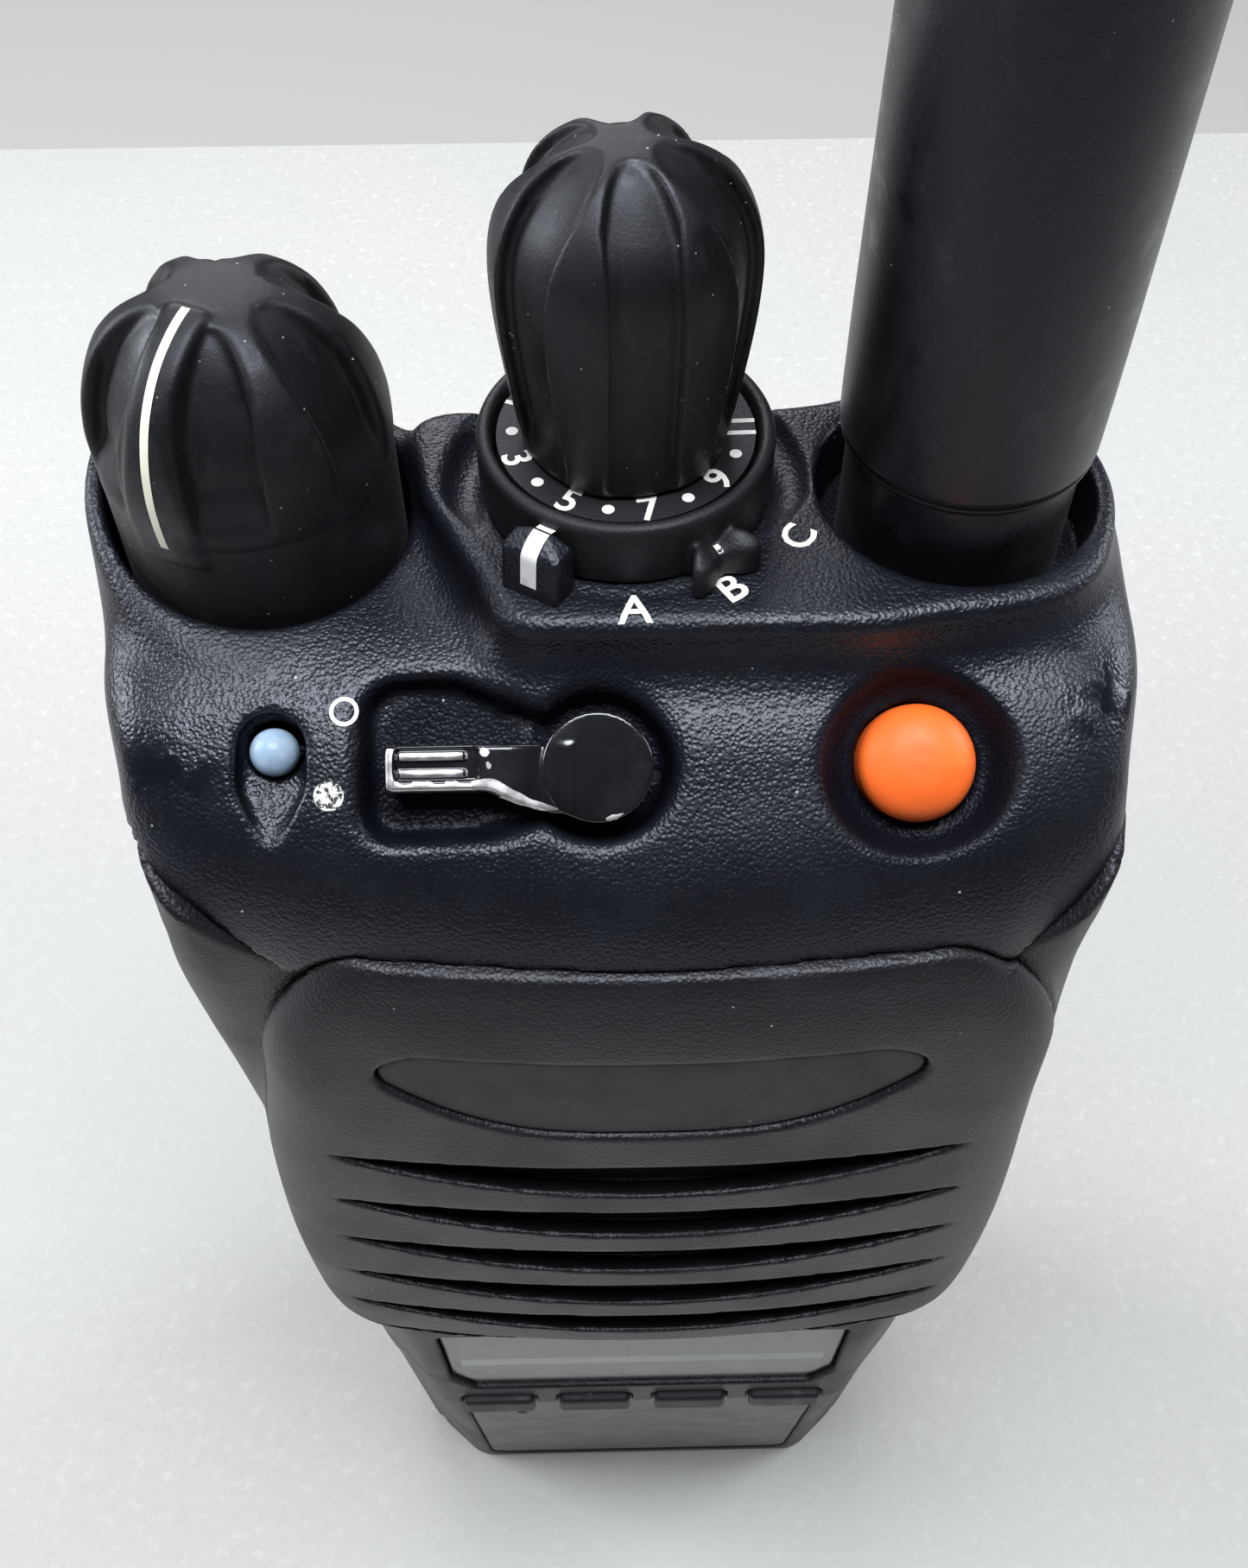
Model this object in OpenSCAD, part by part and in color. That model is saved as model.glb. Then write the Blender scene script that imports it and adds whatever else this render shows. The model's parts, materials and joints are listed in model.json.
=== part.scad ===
// Handheld two-way radio, standing upright on its foot.
// Origin: middle of the foot's resting face. +Z is up, -Y is the front (speaker side),
// +X is the user's right.

/* [Body] */
// Height of the top plateau above the foot
body_h = 139; // [136:0.5:142]
// Width of the housing below the top case
body_w = 55; // [54:0.5:56]
// Distance from the origin to the back of the battery
back_y = 15; // [14.5:0.25:16]
// Distance from the origin to the front of the speaker bulge
bulge_y = 25.3; // [25:0.1:25.6]
// Wall thickness of the moulded shells
wall = 1.8; // [1.6:0.1:2]

/* [Top controls] */
// Slope of the front deck, in degrees from level
deck_slope = 38; // [37:0.5:39]
// Outer radius of the volume knob
volume_r = 7.75; // [7.5:0.05:7.8]
// Outer radius of the A/B/C ring switch
ring_r = 8.05; // [7.8:0.05:8.1]
// Greatest radius of the selector knob
selector_r = 6.7; // [6.2:0.1:6.8]
// Radius of the orange button
alert_r = 3.15; // [3:0.05:3.2]

/* [Antenna] */
// Length of the antenna above the plateau
antenna_len = 126; // [90:1:160]
// Radius of the antenna sleeve at its foot
antenna_r = 6.9; // [6.5:0.1:7]

/* [Fits] */
// Radial clearance of shafts in their bushes
fit = 0.05; // [0.03:0.01:0.08]
// Gap round a moving button
gap = 0.15; // [0.12:0.01:0.2]

/* [Hidden] */
$fn = 48;
eps = 0.01;
big = 200;

// Main levels and lines, all hung from the driving dimensions.
seam_z = body_h - 15;
side_seam_z = body_h - 11;
tip_seam_z = body_h - 17.5;
chin_z = body_h - 75;
seam_y = -16.5;
bay_y = 1;
bay_z = body_h - 27;
half_w = body_w / 2;
foot_half_w = half_w - 2.1;
cap_left = -29.6;
cap_right = 26.8;
cap_back = 13.5;
cap_front = -22.8;

screw_r = 1;
screw_xs = [-19, 19];
screw_zs = [10, 108.5];

// Control axes on the top, as [x, y].
volume_at = [-21.4, 0.8];
selector_at = [-1.0, 0.6];
antenna_at = [17.2, 0];

// The deck is a sloping plane. This point is where it meets the plateau's foot.
deck_y = -11.5;
deck_z = body_h - 3.2;
lever_at = [-2.8, 4.3];
alert_at = [14.2, 4.55];
lens_at = [-19.95, 3.3];
recess_depth = 1.6;
lever_shaft_r = 1.5;
dish_depth = 1.1;

// Heights of the top controls.
volume_floor = body_h - 6;
antenna_floor = body_h - 4.5;
ring_z = body_h + 0.1;
ring_h = 3.8;
selector_top = body_h + 20.6;
volume_top = body_h + 13;
shaft_r = 3;
bush_r = 4;

// Grip flutes of both knobs, and the direction of each knob's first one in degrees.
flute_count = 6;
flute_pitch = 360 / flute_count;
volume_flute_at = -84;
selector_flute_at = -81;
tab_at = -57;
block_at = -125;

// Speaker slits.
slit_count = 6;
slit_pitch = 7.1;
slit_top_z = body_h - 36;
speaker_z = slit_top_z - 2.5 * slit_pitch;

// Keys and display.
key_z = 41.6;
key_xs = [-13.5, -4.5, 4.5, 13.5];
key_travel = 0.5;
side_key_zs = [100, 46];
window_z = [45.5, 60];
face_y = -20.8;
lean = atan2(4.9, key_z - 2);

// Battery and its belt-clip inserts.
battery_w = 51;
clip_pitch = 20;
clip_z = 92;

// ---- Outline helpers ----

function unit(v) = v / norm(v);

// A corner of an outline is [x, y, r]; this gives the points of its arc.
function corner(prev, p, next, steps = 6) =
  let (
    a = unit([prev[0] - p[0], prev[1] - p[1]]),
    b = unit([next[0] - p[0], next[1] - p[1]]),
    r = p[2],
    half = acos(a * b) / 2,
    mid = [p[0], p[1]] + unit(a + b) * r / sin(half),
    start = [p[0], p[1]] + a * r / tan(half) - mid,
    turn = (a[0] * b[1] - a[1] * b[0] > 0 ? -1 : 1) * (180 - 2 * half)
  )
  [for (i = [0:steps])
    let (t = turn * i / steps)
    mid + [start[0] * cos(t) - start[1] * sin(t), start[0] * sin(t) + start[1] * cos(t)]];

function outline(pts) = [
  for (i = [0:len(pts) - 1])
    let (n = len(pts), prev = pts[(i + n - 1) % n], next = pts[(i + 1) % n])
    each (pts[i][2] == 0 ? [[pts[i][0], pts[i][1]]] : corner(prev, pts[i], next))
];

module shape(pts) {
  polygon(outline(pts));
}

// Extrudes an outline drawn in (y, z) along X.
module along_x(x0, x1) {
  translate([x0, 0, 0]) rotate([90, 0, 90]) linear_extrude(x1 - x0) children();
}

// Extrudes an outline drawn in (x, z) along Y.
module along_y(y0, y1) {
  translate([0, y1, 0]) rotate([90, 0, 0]) linear_extrude(y1 - y0) children();
}

// Puts a thing on the deck: x across, s down the slope, local Z straight out of the deck.
module on_deck(at, h = 0) {
  translate([at[0], deck_y - at[1] * cos(deck_slope), deck_z - at[1] * sin(deck_slope)])
    rotate([deck_slope, 0, 0]) translate([0, 0, h]) children();
}

module at_axis(p, z = 0) {
  translate([p[0], p[1], z]) children();
}

// ---- Outer forms shared by the shells ----

// Plan of the top case, shrunk by in.
module cap_plan(in = 0) {
  shape([
    [cap_left + in, cap_back - in, 5], [cap_left + in, -17.2 + in, 6],
    [-19.5 + in / 2, -21.4 + in, 9], [0, cap_front + in, 60], [19.5 - in / 2, -21.4 + in, 9],
    [cap_right - in, -17.2 + in, 6], [cap_right - in, cap_back - in, 5]
  ]);
}

// Side view of the top case without its cups.
module cap_profile() {
  shape([
    [cap_front - 1, tip_seam_z - 5, 0], [cap_front - 0.1, deck_z - 8.75, 4.5], [deck_y, deck_z, 1.5],
    [cap_back - 1, deck_z + 0.6, 2], [cap_back + 1, tip_seam_z - 5, 0]
  ]);
}

// Everything above the seam, seen from the side: level at the front, dipping to a tip, rising to the sides.
module above_seam() {
  along_x(-big / 2, big / 2)
    polygon([
      [-40, seam_z], [-21.6, seam_z], [-20, tip_seam_z], [-15, side_seam_z], [40, side_seam_z],
      [40, body_h + 20], [-40, body_h + 20]
    ]);
}

// Everything in front of the seam between front case and rear case.
module before_seam(shift = 0) {
  along_x(-big / 2, big / 2)
    polygon([
      [-60, body_h], [-20 - shift, body_h], [-20 - shift, tip_seam_z], [-17.6 - shift, tip_seam_z - 6],
      [seam_y - shift, tip_seam_z - 13], [seam_y - shift, chin_z], [-13 - shift, chin_z - 14],
      [-10.5 - shift, -5], [-60, -5]
    ]);
}

// One level of the housing's plan: front at y = -f, half width w, and corner radius r.
module level(z, f, w, r, back, in) {
  translate([0, 0, z]) linear_extrude(eps)
    shape([
      [-w + in, back, 0], [-w + in, -f + 3.2 + in, r], [0, -f + in, 70], [w - in, -f + 3.2 + in, r],
      [w - in, back, 0]
    ]);
}

// Upper housing, from the chin below the slits to the seam; it bulges over the speaker.
module upper_form(back, in = 0) {
  hull() {
    level(chin_z + in * 0.8, bulge_y - 1.7, half_w - 0.6, 9, back, in);
    level(chin_z + 16, bulge_y - 0.15, half_w - 0.15, 9, back, in);
    level(chin_z + 34, bulge_y, half_w, 9, back, in);
    level(chin_z + 48, bulge_y - 0.8, half_w, 8, back, in);
    level(side_seam_z + 0.2, -cap_front + 0.1, half_w, 7, back, in);
  }
}

// One level of the chin: a flat face with a slanting flank each side.
module chin_level(z, f, face, side, w, back, in) {
  translate([0, 0, z]) linear_extrude(eps)
    polygon([
      [-w + in, back], [-w + in, -side + in * 0.4], [-face + in * 0.4, -f + in], [face - in * 0.4, -f + in],
      [w - in, -side + in * 0.4], [w - in, back]
    ]);
}

// Lower housing: it leans back towards the foot.
module lower_form(back, in = 0, low = 0) {
  hull() {
    chin_level(low, 15 + low * 0.09, 18.2, 8.6, foot_half_w, back, in);
    chin_level(key_z - 2, 19.9, 18.4, 11.6, half_w - 0.9, back, in);
    chin_level(key_z - 1, -face_y, 18.6, 12, half_w - 0.9, back, in);
    chin_level(chin_z + 2, -face_y, 20.5, 15, half_w - 0.6, back, in);
  }
}

// ---- Shells ----

module volume_cup_rim() {
  // The rim slants down towards the front and the middle.
  translate([volume_at[0], volume_at[1], body_h - 1]) rotate([16.8, 14.2, 0])
    translate([-20, -20, 0]) cube([40, 40, 20]);
}

module deck_recesses() {
  // Lever pocket: a square end, a neck, and a round end about the hub.
  on_deck(lever_at, -recess_depth) {
    cylinder(r = 4.05, h = 10);
    linear_extrude(10) shape([[-12.6, -4, 1.8], [-12.6, 4.9, 1.8], [-7.4, 4.9, 1.5], [-2.5, 2.8, 1],
      [-2.5, -2.9, 1], [-5.5, -3.8, 1]]);
  }
  // Dish and hole of the orange button.
  on_deck(alert_at, -dish_depth) {
    cylinder(r1 = 4.3, r2 = 5.3, h = dish_depth + eps);
    translate([0, 0, -6]) cylinder(r = alert_r + gap, h = 8);
    translate([0, 0, -8.6]) cylinder(r = 4.6, h = 6.3);
  }
  // Tear-shaped hollow of the status lens.
  on_deck(lens_at, -1) {
    linear_extrude(8)
      shape([[-1.9, 2.2, 1.7], [1.9, 2.2, 1.7], [1.7, -2.2, 1.5], [0, -5, 0.5], [-1.9, -2.2, 1.5]]);
    translate([0, 0, -5]) cylinder(r = 1.3, h = 6);
  }
  // Shaft hole of the lever, and the seat of its switch below.
  on_deck(lever_at, -6) cylinder(r = lever_shaft_r + fit, h = 8);
  on_deck(lever_at, -recess_depth - 6.6) translate([-4.3, -3.3, 0]) cube([8.6, 6.6, 5]);
}

module top_case() {
  color("#1b1c20")
    difference() {
      union() {
        intersection() {
          linear_extrude(big) cap_plan();
          along_x(-40, 40) cap_profile();
          above_seam();
        }
        // Plateau about the selector and the antenna.
        translate([0, 0, side_seam_z + 1]) linear_extrude(body_h - side_seam_z - 1)
          shape([[-10.6, 9.5, 5], [-12.4, -1, 6], [-7, -9.6, 4], [12, -9.8, 8], [25.8, -7.4, 8],
            [25.9, 9.4, 7]]);
        // Cup of the volume knob.
        difference() {
          at_axis(volume_at, side_seam_z + 1) cylinder(r = 9.4, h = body_h - side_seam_z + 1);
          volume_cup_rim();
        }
      }
      at_axis(volume_at, volume_floor) cylinder(r = 8.3, h = 20);
      at_axis(volume_at, 110) cylinder(r = bush_r, h = 40);
      at_axis(antenna_at, antenna_floor) cylinder(r = 7.7, h = 20);
      at_axis(antenna_at, 110) cylinder(r = 5.5, h = 30);
      at_axis(selector_at, 110) cylinder(r = bush_r, h = 40);
      deck_recesses();
      pointer_shape(0);
      // Hollow inside.
      intersection() {
        translate([0, 0, 100]) linear_extrude(60) cap_plan(wall);
        along_x(-40, 40)
          polygon([
            [-30, 100], [-30, seam_z - 6], [-21, seam_z - 1], [-12.6, body_h - 8],
            [cap_back - wall, body_h - 8], [cap_back - wall, 100]
          ]);
      }
      at_axis(selector_at, 120) cylinder(r = 7.4, h = body_h - 2.2 - 120);
    }
}

module rear_case() {
  color("#202126")
    difference() {
      union() {
        upper_form(bay_y + eps);
        lower_form(bay_y + eps);
        // Hump above the battery bay.
        translate([0, 0, bay_z]) linear_extrude(side_seam_z - bay_z + 1)
          shape([[-half_w, bay_y - 3, 0], [half_w, bay_y - 3, 0], [half_w, cap_back - 0.3, 5],
            [-half_w, cap_back - 0.3, 5]]);
      }
      before_seam();
      above_seam();
      // Tub, open at the front and the top.
      upper_form(bay_y - wall, wall);
      lower_form(bay_y - wall, wall, wall);
      translate([-half_w + wall, bay_y - wall - 2, bay_z + wall])
        cube([body_w - 2 * wall, cap_back - bay_y - 0.3 + 2, 30]);
      side_button_holes();
      // Pocket behind the accessory cover.
      translate([half_w - 2.6, -11, 74]) cube([6, 12, 28]);
      // Window for the battery contacts.
      translate([-9, bay_y - wall - 1, 84]) cube([18, 5, 8]);
      at_screws() {
        translate([0, 0, -3]) cylinder(r = screw_r + 0.1, h = 8);
        translate([0, 0, bay_y - 0.9]) cylinder(r = 2.1, h = 4);
      }
    }
}

// The case screws run from the battery bay towards the front, along -Y.
module at_screws() {
  for (x = screw_xs, z = screw_zs) translate([x, 0, z]) rotate([-90, 0, 0]) children();
}

module side_button_holes() {
  translate([-half_w - 2, -10 - gap, 58 - gap]) cube([8, 9 + 2 * gap, 32 + 2 * gap]);
  for (z = side_key_zs) translate([-half_w - 2, -5.5, z]) rotate([0, 90, 0]) cylinder(r = 3.2 + gap, h = 8);
}

// Slit outline: pointed at both ends, with its belly downwards.
function slit(i) =
  let (w = 20.4 + 0.6 * i, up = 0.9, down = 3.2 - 0.08 * i, n = 12)
  concat(
    [for (k = [0:n]) let (t = -1 + 2 * k / n) [w * t, up * (1 - t * t)]],
    [for (k = [1:n - 1]) let (t = 1 - 2 * k / n) [w * t, -down * (1 - t * t)]]
  );

module slits() {
  for (i = [0:slit_count - 1])
    translate([0, 0, slit_top_z - i * slit_pitch]) along_y(-40, -19.5) polygon(slit(i));
}

function plate_points(in) = [
  [-16.2 + in, 115.7 - in / 2, 1.2], [-12, 117 - in, 4], [12, 117 - in, 4], [16.2 - in, 115.7 - in / 2, 1.2],
  [9, 109 + in, 14], [-9, 109 + in, 14]
];

module plate_shape(in = 0) {
  translate([0, body_h - 139]) shape(plate_points(in));
}

module window_shape(in = 0) {
  shape([
    [-18 + in, window_z[1] - in, 0.8], [18 - in, window_z[1] - in, 0.8], [17.6 - in, window_z[0] + 3, 1],
    [15.6 - in, window_z[0] + in, 1], [-15.6 + in, window_z[0] + in, 1], [-17.6 + in, window_z[0] + 3, 1]
  ]);
}

module key_slot(x, in) {
  translate([x, key_z]) square([7 - 2 * in, 3.4 - 2 * in], center = true);
}

// Outline of the smooth panel below the keys.
module panel_shape(in = 0) {
  shape([
    [-17.4 + in, 37.4 - in, 1.5], [17.4 - in, 37.4 - in, 1.5],
    [17 - in, 2.2 + in, 2], [-17 + in, 2.2 + in, 2]
  ]);
}

// Lays a plate on the leaning chin below the keys.
module on_chin(y) {
  translate([0, -15, 0]) rotate([lean, 0, 0]) translate([0, y, 0]) children();
}

module front_case() {
  color("#17181b")
    difference() {
      intersection() {
        union() {
          upper_form(0);
          lower_form(0);
        }
        before_seam(0.05);
      }
      above_seam();
      difference() {
        union() {
          upper_form(2, wall);
          lower_form(2, wall, wall);
        }
        // Bosses that the case screws bite in.
        at_screws() translate([0, 0, -30]) cylinder(r = 2.2, h = 21.8);
      }
      at_screws() translate([0, 0, -13]) cylinder(r = screw_r, h = 6);
      slits();
      // Seat of the name plate, cut into the bulge.
      difference() {
        along_y(-40, -20) plate_shape();
        upper_form(2, 1.1);
      }
      along_y(-40, -10) window_shape();
      for (x = key_xs) along_y(-40, -10) key_slot(x, 0);
      on_chin(0) along_y(-3, 0.9) panel_shape();
      translate([-12, -10, 30]) rotate([90, 0, 0]) cylinder(r = 0.6, h = 20);
    }
}

module name_plate() {
  color("#101114")
    intersection() {
      along_y(-40, -20) plate_shape(0.08);
      difference() {
        upper_form(2, 0.3);
        upper_form(3, 1.1);
      }
    }
}

module lower_panel() {
  color("#3a3c40")
    difference() {
      on_chin(0) along_y(0.1, 0.9) panel_shape(0.08);
      translate([-12, -10, 30]) rotate([90, 0, 0]) cylinder(r = 0.5, h = 20);
    }
}

// One half-loop of the housing's inside wall, from the side seam round the back.
module hump_plan(in) {
  shape([
    [-half_w + in, -6, 0], [half_w - in, -6, 0], [half_w - in, cap_back - 0.3 - in, 5 - in],
    [-half_w + in, cap_back - 0.3 - in, 5 - in]
  ]);
}

module case_gasket() {
  color("#2b2b2b")
    translate([0, 0, side_seam_z - 6]) linear_extrude(1.4)
      difference() {
        hump_plan(wall + 0.05);
        translate([0, -1]) hump_plan(wall + 0.9);
      }
}

// Fasteners that hold the rear case to the front case, driven from the battery bay.
module case_screws() {
  color("#8d8f93")
    at_screws() {
      difference() {
        translate([0, 0, bay_y - 0.9 + eps]) cylinder(r = 1.9, h = 0.8);
        translate([0, 0, bay_y - 0.4]) cylinder(r = 0.8, h = 2, $fn = 6);
      }
      translate([0, 0, -12]) cylinder(r = screw_r, h = 12 + bay_y - 0.9 + eps);
    }
}

// ---- Display, boards and keys ----

module display_window() {
  color("#8f9aa3") along_y(face_y + 0.5, face_y + 1.5) window_shape(0.08);
}

module display_module() {
  color("#5c646b") translate([-17.5, face_y + wall + 0.1, 44]) cube([35, 2.6, 17.5]);
}

module control_board() {
  color("#1f5a34")
    difference() {
      translate([-19, -13.6, 14]) cube([38, 1, 49]);
      translate([-12, -10, 30]) rotate([90, 0, 0]) cylinder(r = 3.2, h = 20);
    }
}

module main_board() {
  color("#1f5a34")
    difference() {
      translate([-22, -8, 8]) cube([44, 1.2, 106]);
      at_screws() translate([0, 0, -10]) cylinder(r = 1.4, h = 5);
    }
}

module shield_can() {
  color("#b9bbbe")
    translate([-17, -6.8, 40])
      difference() {
        cube([34, 3.4, 44]);
        translate([0.4, -eps, 0.4]) cube([33.2, 3, 43.2]);
      }
}

module front_key(i) {
  color("#141518") {
    along_y(face_y - 0.7, face_y + 2.6) translate([key_xs[i], key_z]) square([6.7, 3.1], center = true);
    along_y(face_y + wall + 0.1 + key_travel, face_y + 3.1)
      translate([key_xs[i], key_z]) square([7.8, 4.2], center = true);
  }
}

module key_mat() {
  color("#3b3b3b")
    difference() {
      translate([-17.8, face_y + 3.7, 38.4]) cube([35.6, 1.2, 5.2]);
      for (x = key_xs) translate([x, face_y + 4.6, key_z]) rotate([90, 0, 0]) cylinder(r = 1.4, h = 2);
    }
}

// ---- Speaker and microphone ----

module speaker_mesh() {
  color("#26262a")
    intersection() {
      difference() {
        upper_form(2, wall + 0.03);
        upper_form(3, wall + 0.4);
      }
      translate([-24, -40, chin_z + 2.5]) cube([48, 19, 39]);
    }
}

module at_speaker(y) {
  translate([0, y, speaker_z]) rotate([90, 0, 0]) children();
}

module speaker_frame() {
  color("#77797c")
    at_speaker(-15.6)
      difference() {
        cylinder(r = 18, h = 4.6);
        translate([0, 0, 1]) cylinder(r = 16.6, h = 8);
        translate([0, 0, -1]) cylinder(r = 6, h = 8);
      }
}

module speaker_cone() {
  color("#1a1a1a")
    at_speaker(-15.6)
      rotate_extrude()
        polygon([
          [0, 1.9], [5, 2.2], [10, 2.2], [16.5, 4.2], [16.5, 4.5], [10, 2.5], [5, 2.5], [2, 3.2], [0, 3.2]
        ]);
}

module speaker_magnet() {
  color("#55575a")
    at_speaker(-12.4) {
      cylinder(r = 8, h = 3.2 - eps);
      cylinder(r = 5.9, h = 4.6);
    }
}

module microphone() {
  color("#9a9b9e") translate([-12, -14, 30]) rotate([90, 0, 0]) cylinder(r = 3, h = 2.6);
}

// ---- Left side: push-to-talk and side keys ----

module ptt_button() {
  color("#101114") {
    translate([-half_w - 0.9, -10, 58]) cube([3.7, 9, 32]);
    translate([-half_w + wall + 0.9, -11, 57]) cube([0.9, 11 - wall, 34]);
  }
}

module ptt_seal() {
  color("#303033")
    difference() {
      translate([-half_w + wall + 2.7, -12, 56]) cube([0.8, 12 - wall, 36]);
      translate([-half_w, -8, 64]) cube([6, 5, 20]);
    }
}

// w is the housing's half width at the key.
module side_key(z, w) {
  color("#101114")
    translate([-w - 0.6, -5.5, z]) rotate([0, 90, 0]) {
      cylinder(r = 3.2, h = 3.2);
      translate([0, 0, 0.6 + wall + 0.4]) cylinder(r = 3.8, h = 0.8);
    }
}

module side_switches() {
  color("#c9cacc") {
    for (z = [side_key_zs[0], side_key_zs[1], 74])
      translate([-half_w + wall + 3.6, -6.7, z - 2.4]) cube([1.8, 4, 4.8]);
  }
}

// ---- Right side: accessory connector ----

module accessory_cover() {
  color("#17181b")
    difference() {
      union() {
        translate([half_w - 0.9, -10.8, 74.2]) cube([1.7, 11.6, 27.6]);
        translate([half_w - 2.4, -8.9, 84]) cube([1.6, 7.8, 15]);
      }
      translate([half_w - 5, -5, 79]) rotate([0, 90, 0]) cylinder(r = 1.3, h = 10);
      translate([half_w + 0.1, -5, 79]) rotate([0, 90, 0]) cylinder(r = 2.7, h = 10);
    }
}

module accessory_cover_screw() {
  color("#a3a5a8")
    translate([half_w, -5, 79]) rotate([0, 90, 0])
      difference() {
        union() {
          translate([0, 0, 0.1]) cylinder(r = 2.5, h = 1.1);
          translate([0, 0, -2.5]) cylinder(r = 1.25, h = 2.6 + eps);
        }
        translate([-2, -0.35, 0.7]) cube([4, 0.7, 2]);
      }
}

module accessory_contacts() {
  color("#c8a24a")
    for (z = [85.5:2.4:97.5], y = [-7.5, -3]) translate([half_w - 2.6, y, z]) cube([0.19, 1.6, 1.2]);
}

// ---- Volume ----

module volume_knob() {
  color("#141518")
    at_axis(volume_at)
      difference() {
        rotate_extrude()
          shape([
            [0, volume_floor + 0.5, 0], [volume_r - 0.3, volume_floor + 0.5, 0.3],
            [volume_r - 0.2, body_h + 1, 3], [volume_r, body_h + 6, 8], [volume_r - 0.3, body_h + 10, 3],
            [4.4, volume_top - 0.2, 3], [0, volume_top, 0]
          ]);
        translate([0, 0, volume_floor]) cylinder(r = 6, h = 4);
        translate([0, 0, volume_floor]) cylinder(r = shaft_r, h = 14);
        // Finger flutes.
        for (k = [1:flute_count]) rotate(volume_flute_at + k * flute_pitch)
          translate([volume_r + 1.2, 0, body_h + 3]) rotate([0, -14, 0])
            cylinder(r = 2.2, h = 20);
      }
}

module volume_shaft() {
  color("#c9cacc")
    at_axis(volume_at, volume_floor - 6) cylinder(r = shaft_r, h = 20);
}

// A control below a floor: body, threaded bush through the case, and a running bore for the shaft.
module control_body(p, floor_z, body_r, body_len, bush_top) {
  at_axis(p)
    difference() {
      union() {
        translate([0, 0, floor_z - body_len]) cylinder(r = body_r, h = body_len);
        translate([0, 0, floor_z - eps]) cylinder(r = bush_r - 0.05, h = bush_top - floor_z);
      }
      translate([0, 0, floor_z - body_len + 1]) cylinder(r = shaft_r + fit, h = 40);
    }
}

module volume_control() {
  color("#8d8f93") control_body(volume_at, body_h - 8.05, 4.2, 5, volume_floor + 3.4);
}

// ---- Selector ----

module selector_knob() {
  color("#141518")
    at_axis(selector_at)
      difference() {
        rotate_extrude()
          shape([
            [0, body_h + 3.6, 0], [5.3, body_h + 3.6, 0.4], [5.7, body_h + 6, 6],
            [selector_r + 0.1, body_h + 15.5, 9], [4.8, selector_top - 1, 3],
            [3, selector_top, 1.5], [0, selector_top, 0]
          ]);
        translate([0, 0, body_h]) cylinder(r = shaft_r, h = 17);
        for (k = [1:flute_count]) rotate(selector_flute_at + k * flute_pitch)
          translate([selector_r + 1.1, 0, body_h + 9]) rotate([0, -10, 0])
            cylinder(r = 2, h = 20);
      }
}

module channel_dial() {
  color("#141518")
    at_axis(selector_at, body_h + 2.2)
      difference() {
        cylinder(r = 6.95, h = 1.3);
        translate([0, 0, -1]) cylinder(r = shaft_r, h = 4);
      }
}

module selector_shaft() {
  color("#c9cacc") at_axis(selector_at, body_h - 8) cylinder(r = shaft_r, h = 25);
}

module selector_switch() {
  color("#8d8f93") control_body(selector_at, body_h - 2.3, 6.8, 7, body_h + 1.6);
}

module ring_switch() {
  color("#141518")
    at_axis(selector_at) {
      rotate_extrude()
        polygon([
          [bush_r + fit, ring_z], [ring_r, ring_z], [ring_r, ring_z + ring_h - 0.4],
          [ring_r - 0.3, ring_z + ring_h], [ring_r - 0.6, ring_z + ring_h], [7.1, ring_z + ring_h - 0.5],
          [7.1, ring_z + 1.5], [bush_r + fit, ring_z + 1.5]
        ]);
      // Finger tab, waisted like a pinched grip.
      rotate(tab_at) translate([0, 0, ring_z]) linear_extrude(2.6)
        polygon([[7.5, -2.2], [8.6, -1.2], [9.6, -1.8], [9.8, 0], [9.6, 1.8], [8.6, 1.2], [7.5, 2.2]]);
    }
}

module pointer_shape(in) {
  at_axis(selector_at) rotate(block_at) translate([8.35 + in, -1.75 + in, body_h - 2])
    cube([2.2 - 2 * in, 3.5 - 2 * in, 5]);
}

// Fixed index that the dial is read against.
module pointer_block() {
  color("#141518") pointer_shape(0.03);
}

// Nut that clamps the volume control in the floor of its cup.
module volume_nut() {
  color("#b9bbbe")
    at_axis(volume_at, volume_floor + 0.02)
      difference() {
        cylinder(r = 5.6, h = 1.5, $fn = 6);
        translate([0, 0, -1]) cylinder(r = bush_r, h = 4);
      }
}

// ---- Lever ----

module lever() {
  color("#0c0c0e")
    on_deck(lever_at, -recess_depth + 0.15) {
      rotate_extrude() shape([[0, 0, 0], [2.9, 0, 0], [2.9, 2.4, 0.5], [0, 2.6, 0]]);
      linear_extrude(1.7)
        shape([
          [-11.7, -1.15, 0.4], [-11.7, 1.15, 0.4], [-2, 1.15, 0.1], [-2, -2.2, 0.3], [-6.6, -1.15, 1]
        ]);
      translate([0, 0, -5]) cylinder(r = lever_shaft_r, h = 5 + eps);
    }
}

module lever_seal() {
  color("#303033")
    on_deck(lever_at, -recess_depth - 2.2)
      rotate_extrude() translate([2.05, 0]) circle(r = 0.45, $fn = 24);
}

module lever_switch() {
  color("#8d8f93")
    on_deck(lever_at, -recess_depth - 6.4)
      difference() {
        translate([-4, -3, 0]) cube([8, 6, 3.6]);
        translate([0, 0, 1]) cylinder(r = lever_shaft_r + fit, h = 6);
      }
}

// ---- Orange button ----

module alert_button() {
  color("#ff5a1f")
    on_deck(alert_at, -dish_depth)
      rotate_extrude()
        shape([
          [0, -3.6, 0], [alert_r + 0.7, -3.6, 0], [alert_r + 0.7, -2.8, 0], [alert_r, -2.8, 0],
          [alert_r, 0.6, 1.1], [1.9, 1.75, 2.4], [0, 1.95, 0]
        ]);
}

module alert_seal() {
  color("#303033")
    on_deck(alert_at, -dish_depth - 5.8)
      difference() {
        cylinder(r = 4.4, h = 0.7);
        translate([0, 0, -1]) cylinder(r = 1.6, h = 3);
      }
}

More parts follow.
